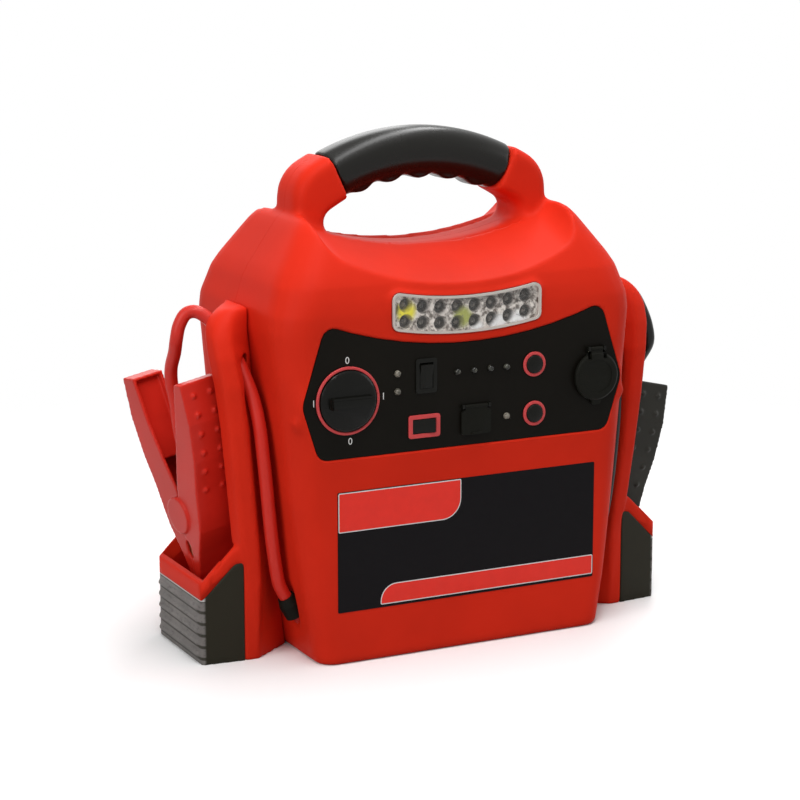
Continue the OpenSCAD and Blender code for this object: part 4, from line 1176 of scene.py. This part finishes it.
class STARTER_OT_lamp(bpy.types.Operator):
    """Finishes the work lamp"""

    bl_idname = "starter.lamp"
    bl_label = "Work lamp"

    def execute(self, context):
        lens = edge_rounded(copy_of("lamp_window", "lamp_lens"), 0.4 * MM)
        stand_in(lens, palette.lens, "lamp_lens")
        self.add_border(outline_of("lamp_lens", LENS_Y))
        dress(palette.reflector, "lamp_reflector")
        dress(palette.emitter, "lamp_leds")
        dress(palette.lamp_board, "lamp_board")
        return {"FINISHED"}

    def add_border(self, outline):
        """The lens's pale edge, which stands just proud of its face."""
        face_y, outer, inner = LENS_Y - 0.06 * MM, -0.5 * MM, -2.2 * MM
        border = sunk_prism("lamp_border", outline, [(FRONT_Y + 1 * MM, outer), (face_y, outer)])
        hole = sunk_prism("border_hole", outline, [(FRONT_Y + 2 * MM, inner), (face_y - 1 * MM, inner)])
        add_piece(smooth(cut(border, hole)), palette.lens_edge)


class STARTER_OT_label(bpy.types.Operator):
    """Lays the bare label plate on the front"""

    bl_idname = "starter.label"
    bl_label = "Label plate"

    def execute(self, context):
        left, right, low, high = -103.6, 107.0, 38.9, 127.1
        sheet = rounded_box(left, right, low, high, (1, 1, 1, 1))
        block = rounded_box(left + 0.6, -5, high - 29.5, high - 0.6, (1.2, 15, 1.2, 1.2))
        band = rounded_box(-70, right - 0.4, low + 2, low + 17, (1.2, 1.2, 1.2, 12.5))
        self.skin("label_sheet", sheet, 0.25, palette.label_black)
        for name, field in (("label_block", block), ("label_band", band)):
            self.skin(f"{name}_edge", field, 0.32, palette.label_white)
            self.skin(name, field, 0.38, palette.label_red, 0.7)
        return {"FINISHED"}

    def skin(self, name, outline, height, material, inset=0.0):
        """A thin plate that stands height in front of the housing, in millimetres."""
        steps = [(FRONT_Y + 0.3 * MM, 0), (FRONT_Y - height * MM, 0)]
        plate = sunk_prism(name, grown([p * MM for p in outline], -inset * MM), steps)
        add_piece(smooth(plate), material)


def rounded_box(left, right, low, high, radii, steps=8):
    """A rectangle with rounded corners, from its lower left one anticlockwise."""
    corners = [Vector(corner) for corner in ((left, low), (right, low), (right, high), (left, high))]
    out = []
    for i, (corner, radius) in enumerate(zip(corners, radii)):
        before = (corners[i - 1] - corner).normalized()
        after = (corners[(i + 1) % 4] - corner).normalized()
        centre = corner + (before + after) * radius
        for k in range(steps + 1):
            turn = math.radians(90 * k / steps)
            out.append(centre - radius * (after * math.cos(turn) + before * math.sin(turn)))
    return out


# ---- back and inside


class STARTER_OT_back(bpy.types.Operator):
    """Finishes the gauge, the air outlet, the charging inlet and the screws"""

    bl_idname = "starter.back"
    bl_label = "Back"

    def execute(self, context):
        dress(palette.black, "gauge_case", "charge_inlet")
        dress(palette.brass, "air_fitting")
        dress(palette.gauge_glass, "gauge_lens")
        dress(palette.needle, "gauge_needle")
        dress(palette.steel, "housing_screws")
        self.add_dial()
        return {"FINISHED"}

    def add_dial(self):
        """A white dial with ticks and plain numbers, read from the back."""
        x, z = middle_of("gauge_case").xz
        face_y = BACK_Y - 10.95 * MM
        disc = rod("dial_face", (x, z), [(face_y - 0.3 * MM, 20.2 * MM), (face_y, 20.2 * MM)])
        add_piece(smooth(disc), palette.dial)
        marks = []
        for i in range(31):
            angle = math.radians(225 - 9 * i)
            numbered = i % 5 == 0
            inner = (14.6 if numbered else 16.2) * MM
            tick = box_between("tick", (inner, -0.02 * MM, -0.22 * MM), (18.2 * MM, 0.06 * MM, 0.22 * MM))
            tick.matrix_world = Matrix.Translation((x, face_y, z)) @ Matrix.Rotation(angle - math.pi, 4, "Y")
            marks.append(settle(tick))
            if numbered:
                reach = 11.3 * MM
                place = (x - reach * math.cos(angle), face_y + 0.05 * MM, z + reach * math.sin(angle))
                marks.append(flat_text(str(i // 5 * 2), 4.2 * MM, Vector(place), math.pi))
        add_piece(joined("dial_marks", marks), palette.label_black)


class STARTER_OT_inside(bpy.types.Operator):
    """Finishes the battery, the compressor, the boards and the cables"""

    bl_idname = "starter.inside"
    bl_label = "Inside"

    def execute(self, context):
        dress(palette.case, "battery")
        dress(palette.copper, "battery_terminals")
        dress(palette.steel, "battery_strap", "compressor_motor")
        dress(palette.alloy, "compressor_head")
        dress(palette.lead_red, "inner_cables")
        dress(palette.board, "control_board")
        dress(palette.soft_black, "lead_glands")
        return {"FINISHED"}


class STARTER_PT_sidebar(bpy.types.Panel):
    """Lists the steps that dress the starter"""

    bl_idname = "STARTER_PT_sidebar"
    bl_label = "Engine starter"
    bl_space_type = "VIEW_3D"
    bl_region_type = "UI"
    bl_category = "Starter"

    def draw(self, context):
        column = self.layout.column(align=True)
        for step in STEPS:
            column.operator(step.bl_idname)
        for group in (context.scene.starter, context.scene.starter_studio):
            box = self.layout.box()
            for key in group.__annotations__:
                box.prop(group, key)


STEPS = (
    STARTER_OT_stage,
    STARTER_OT_leads,
    STARTER_OT_housing,
    STARTER_OT_grip,
    STARTER_OT_holsters,
    STARTER_OT_clamps,
    STARTER_OT_panel,
    STARTER_OT_lamp,
    STARTER_OT_label,
    STARTER_OT_back,
    STARTER_OT_inside,
)
CLASSES = (StarterSettings, StudioSettings, *STEPS, STARTER_PT_sidebar)


def register():
    for cls in CLASSES:
        bpy.utils.register_class(cls)
    bpy.types.Scene.starter = PointerProperty(type=StarterSettings)
    bpy.types.Scene.starter_studio = PointerProperty(type=StudioSettings)


def unregister():
    del bpy.types.Scene.starter_studio
    del bpy.types.Scene.starter
    for cls in reversed(CLASSES):
        bpy.utils.unregister_class(cls)


def main():
    global palette
    register()
    palette = Palette(bpy.context.scene.starter)
    for step in STEPS:
        group, call = step.bl_idname.split(".")
        getattr(getattr(bpy.ops, group), call)()


if __name__ == "__main__":
    main()
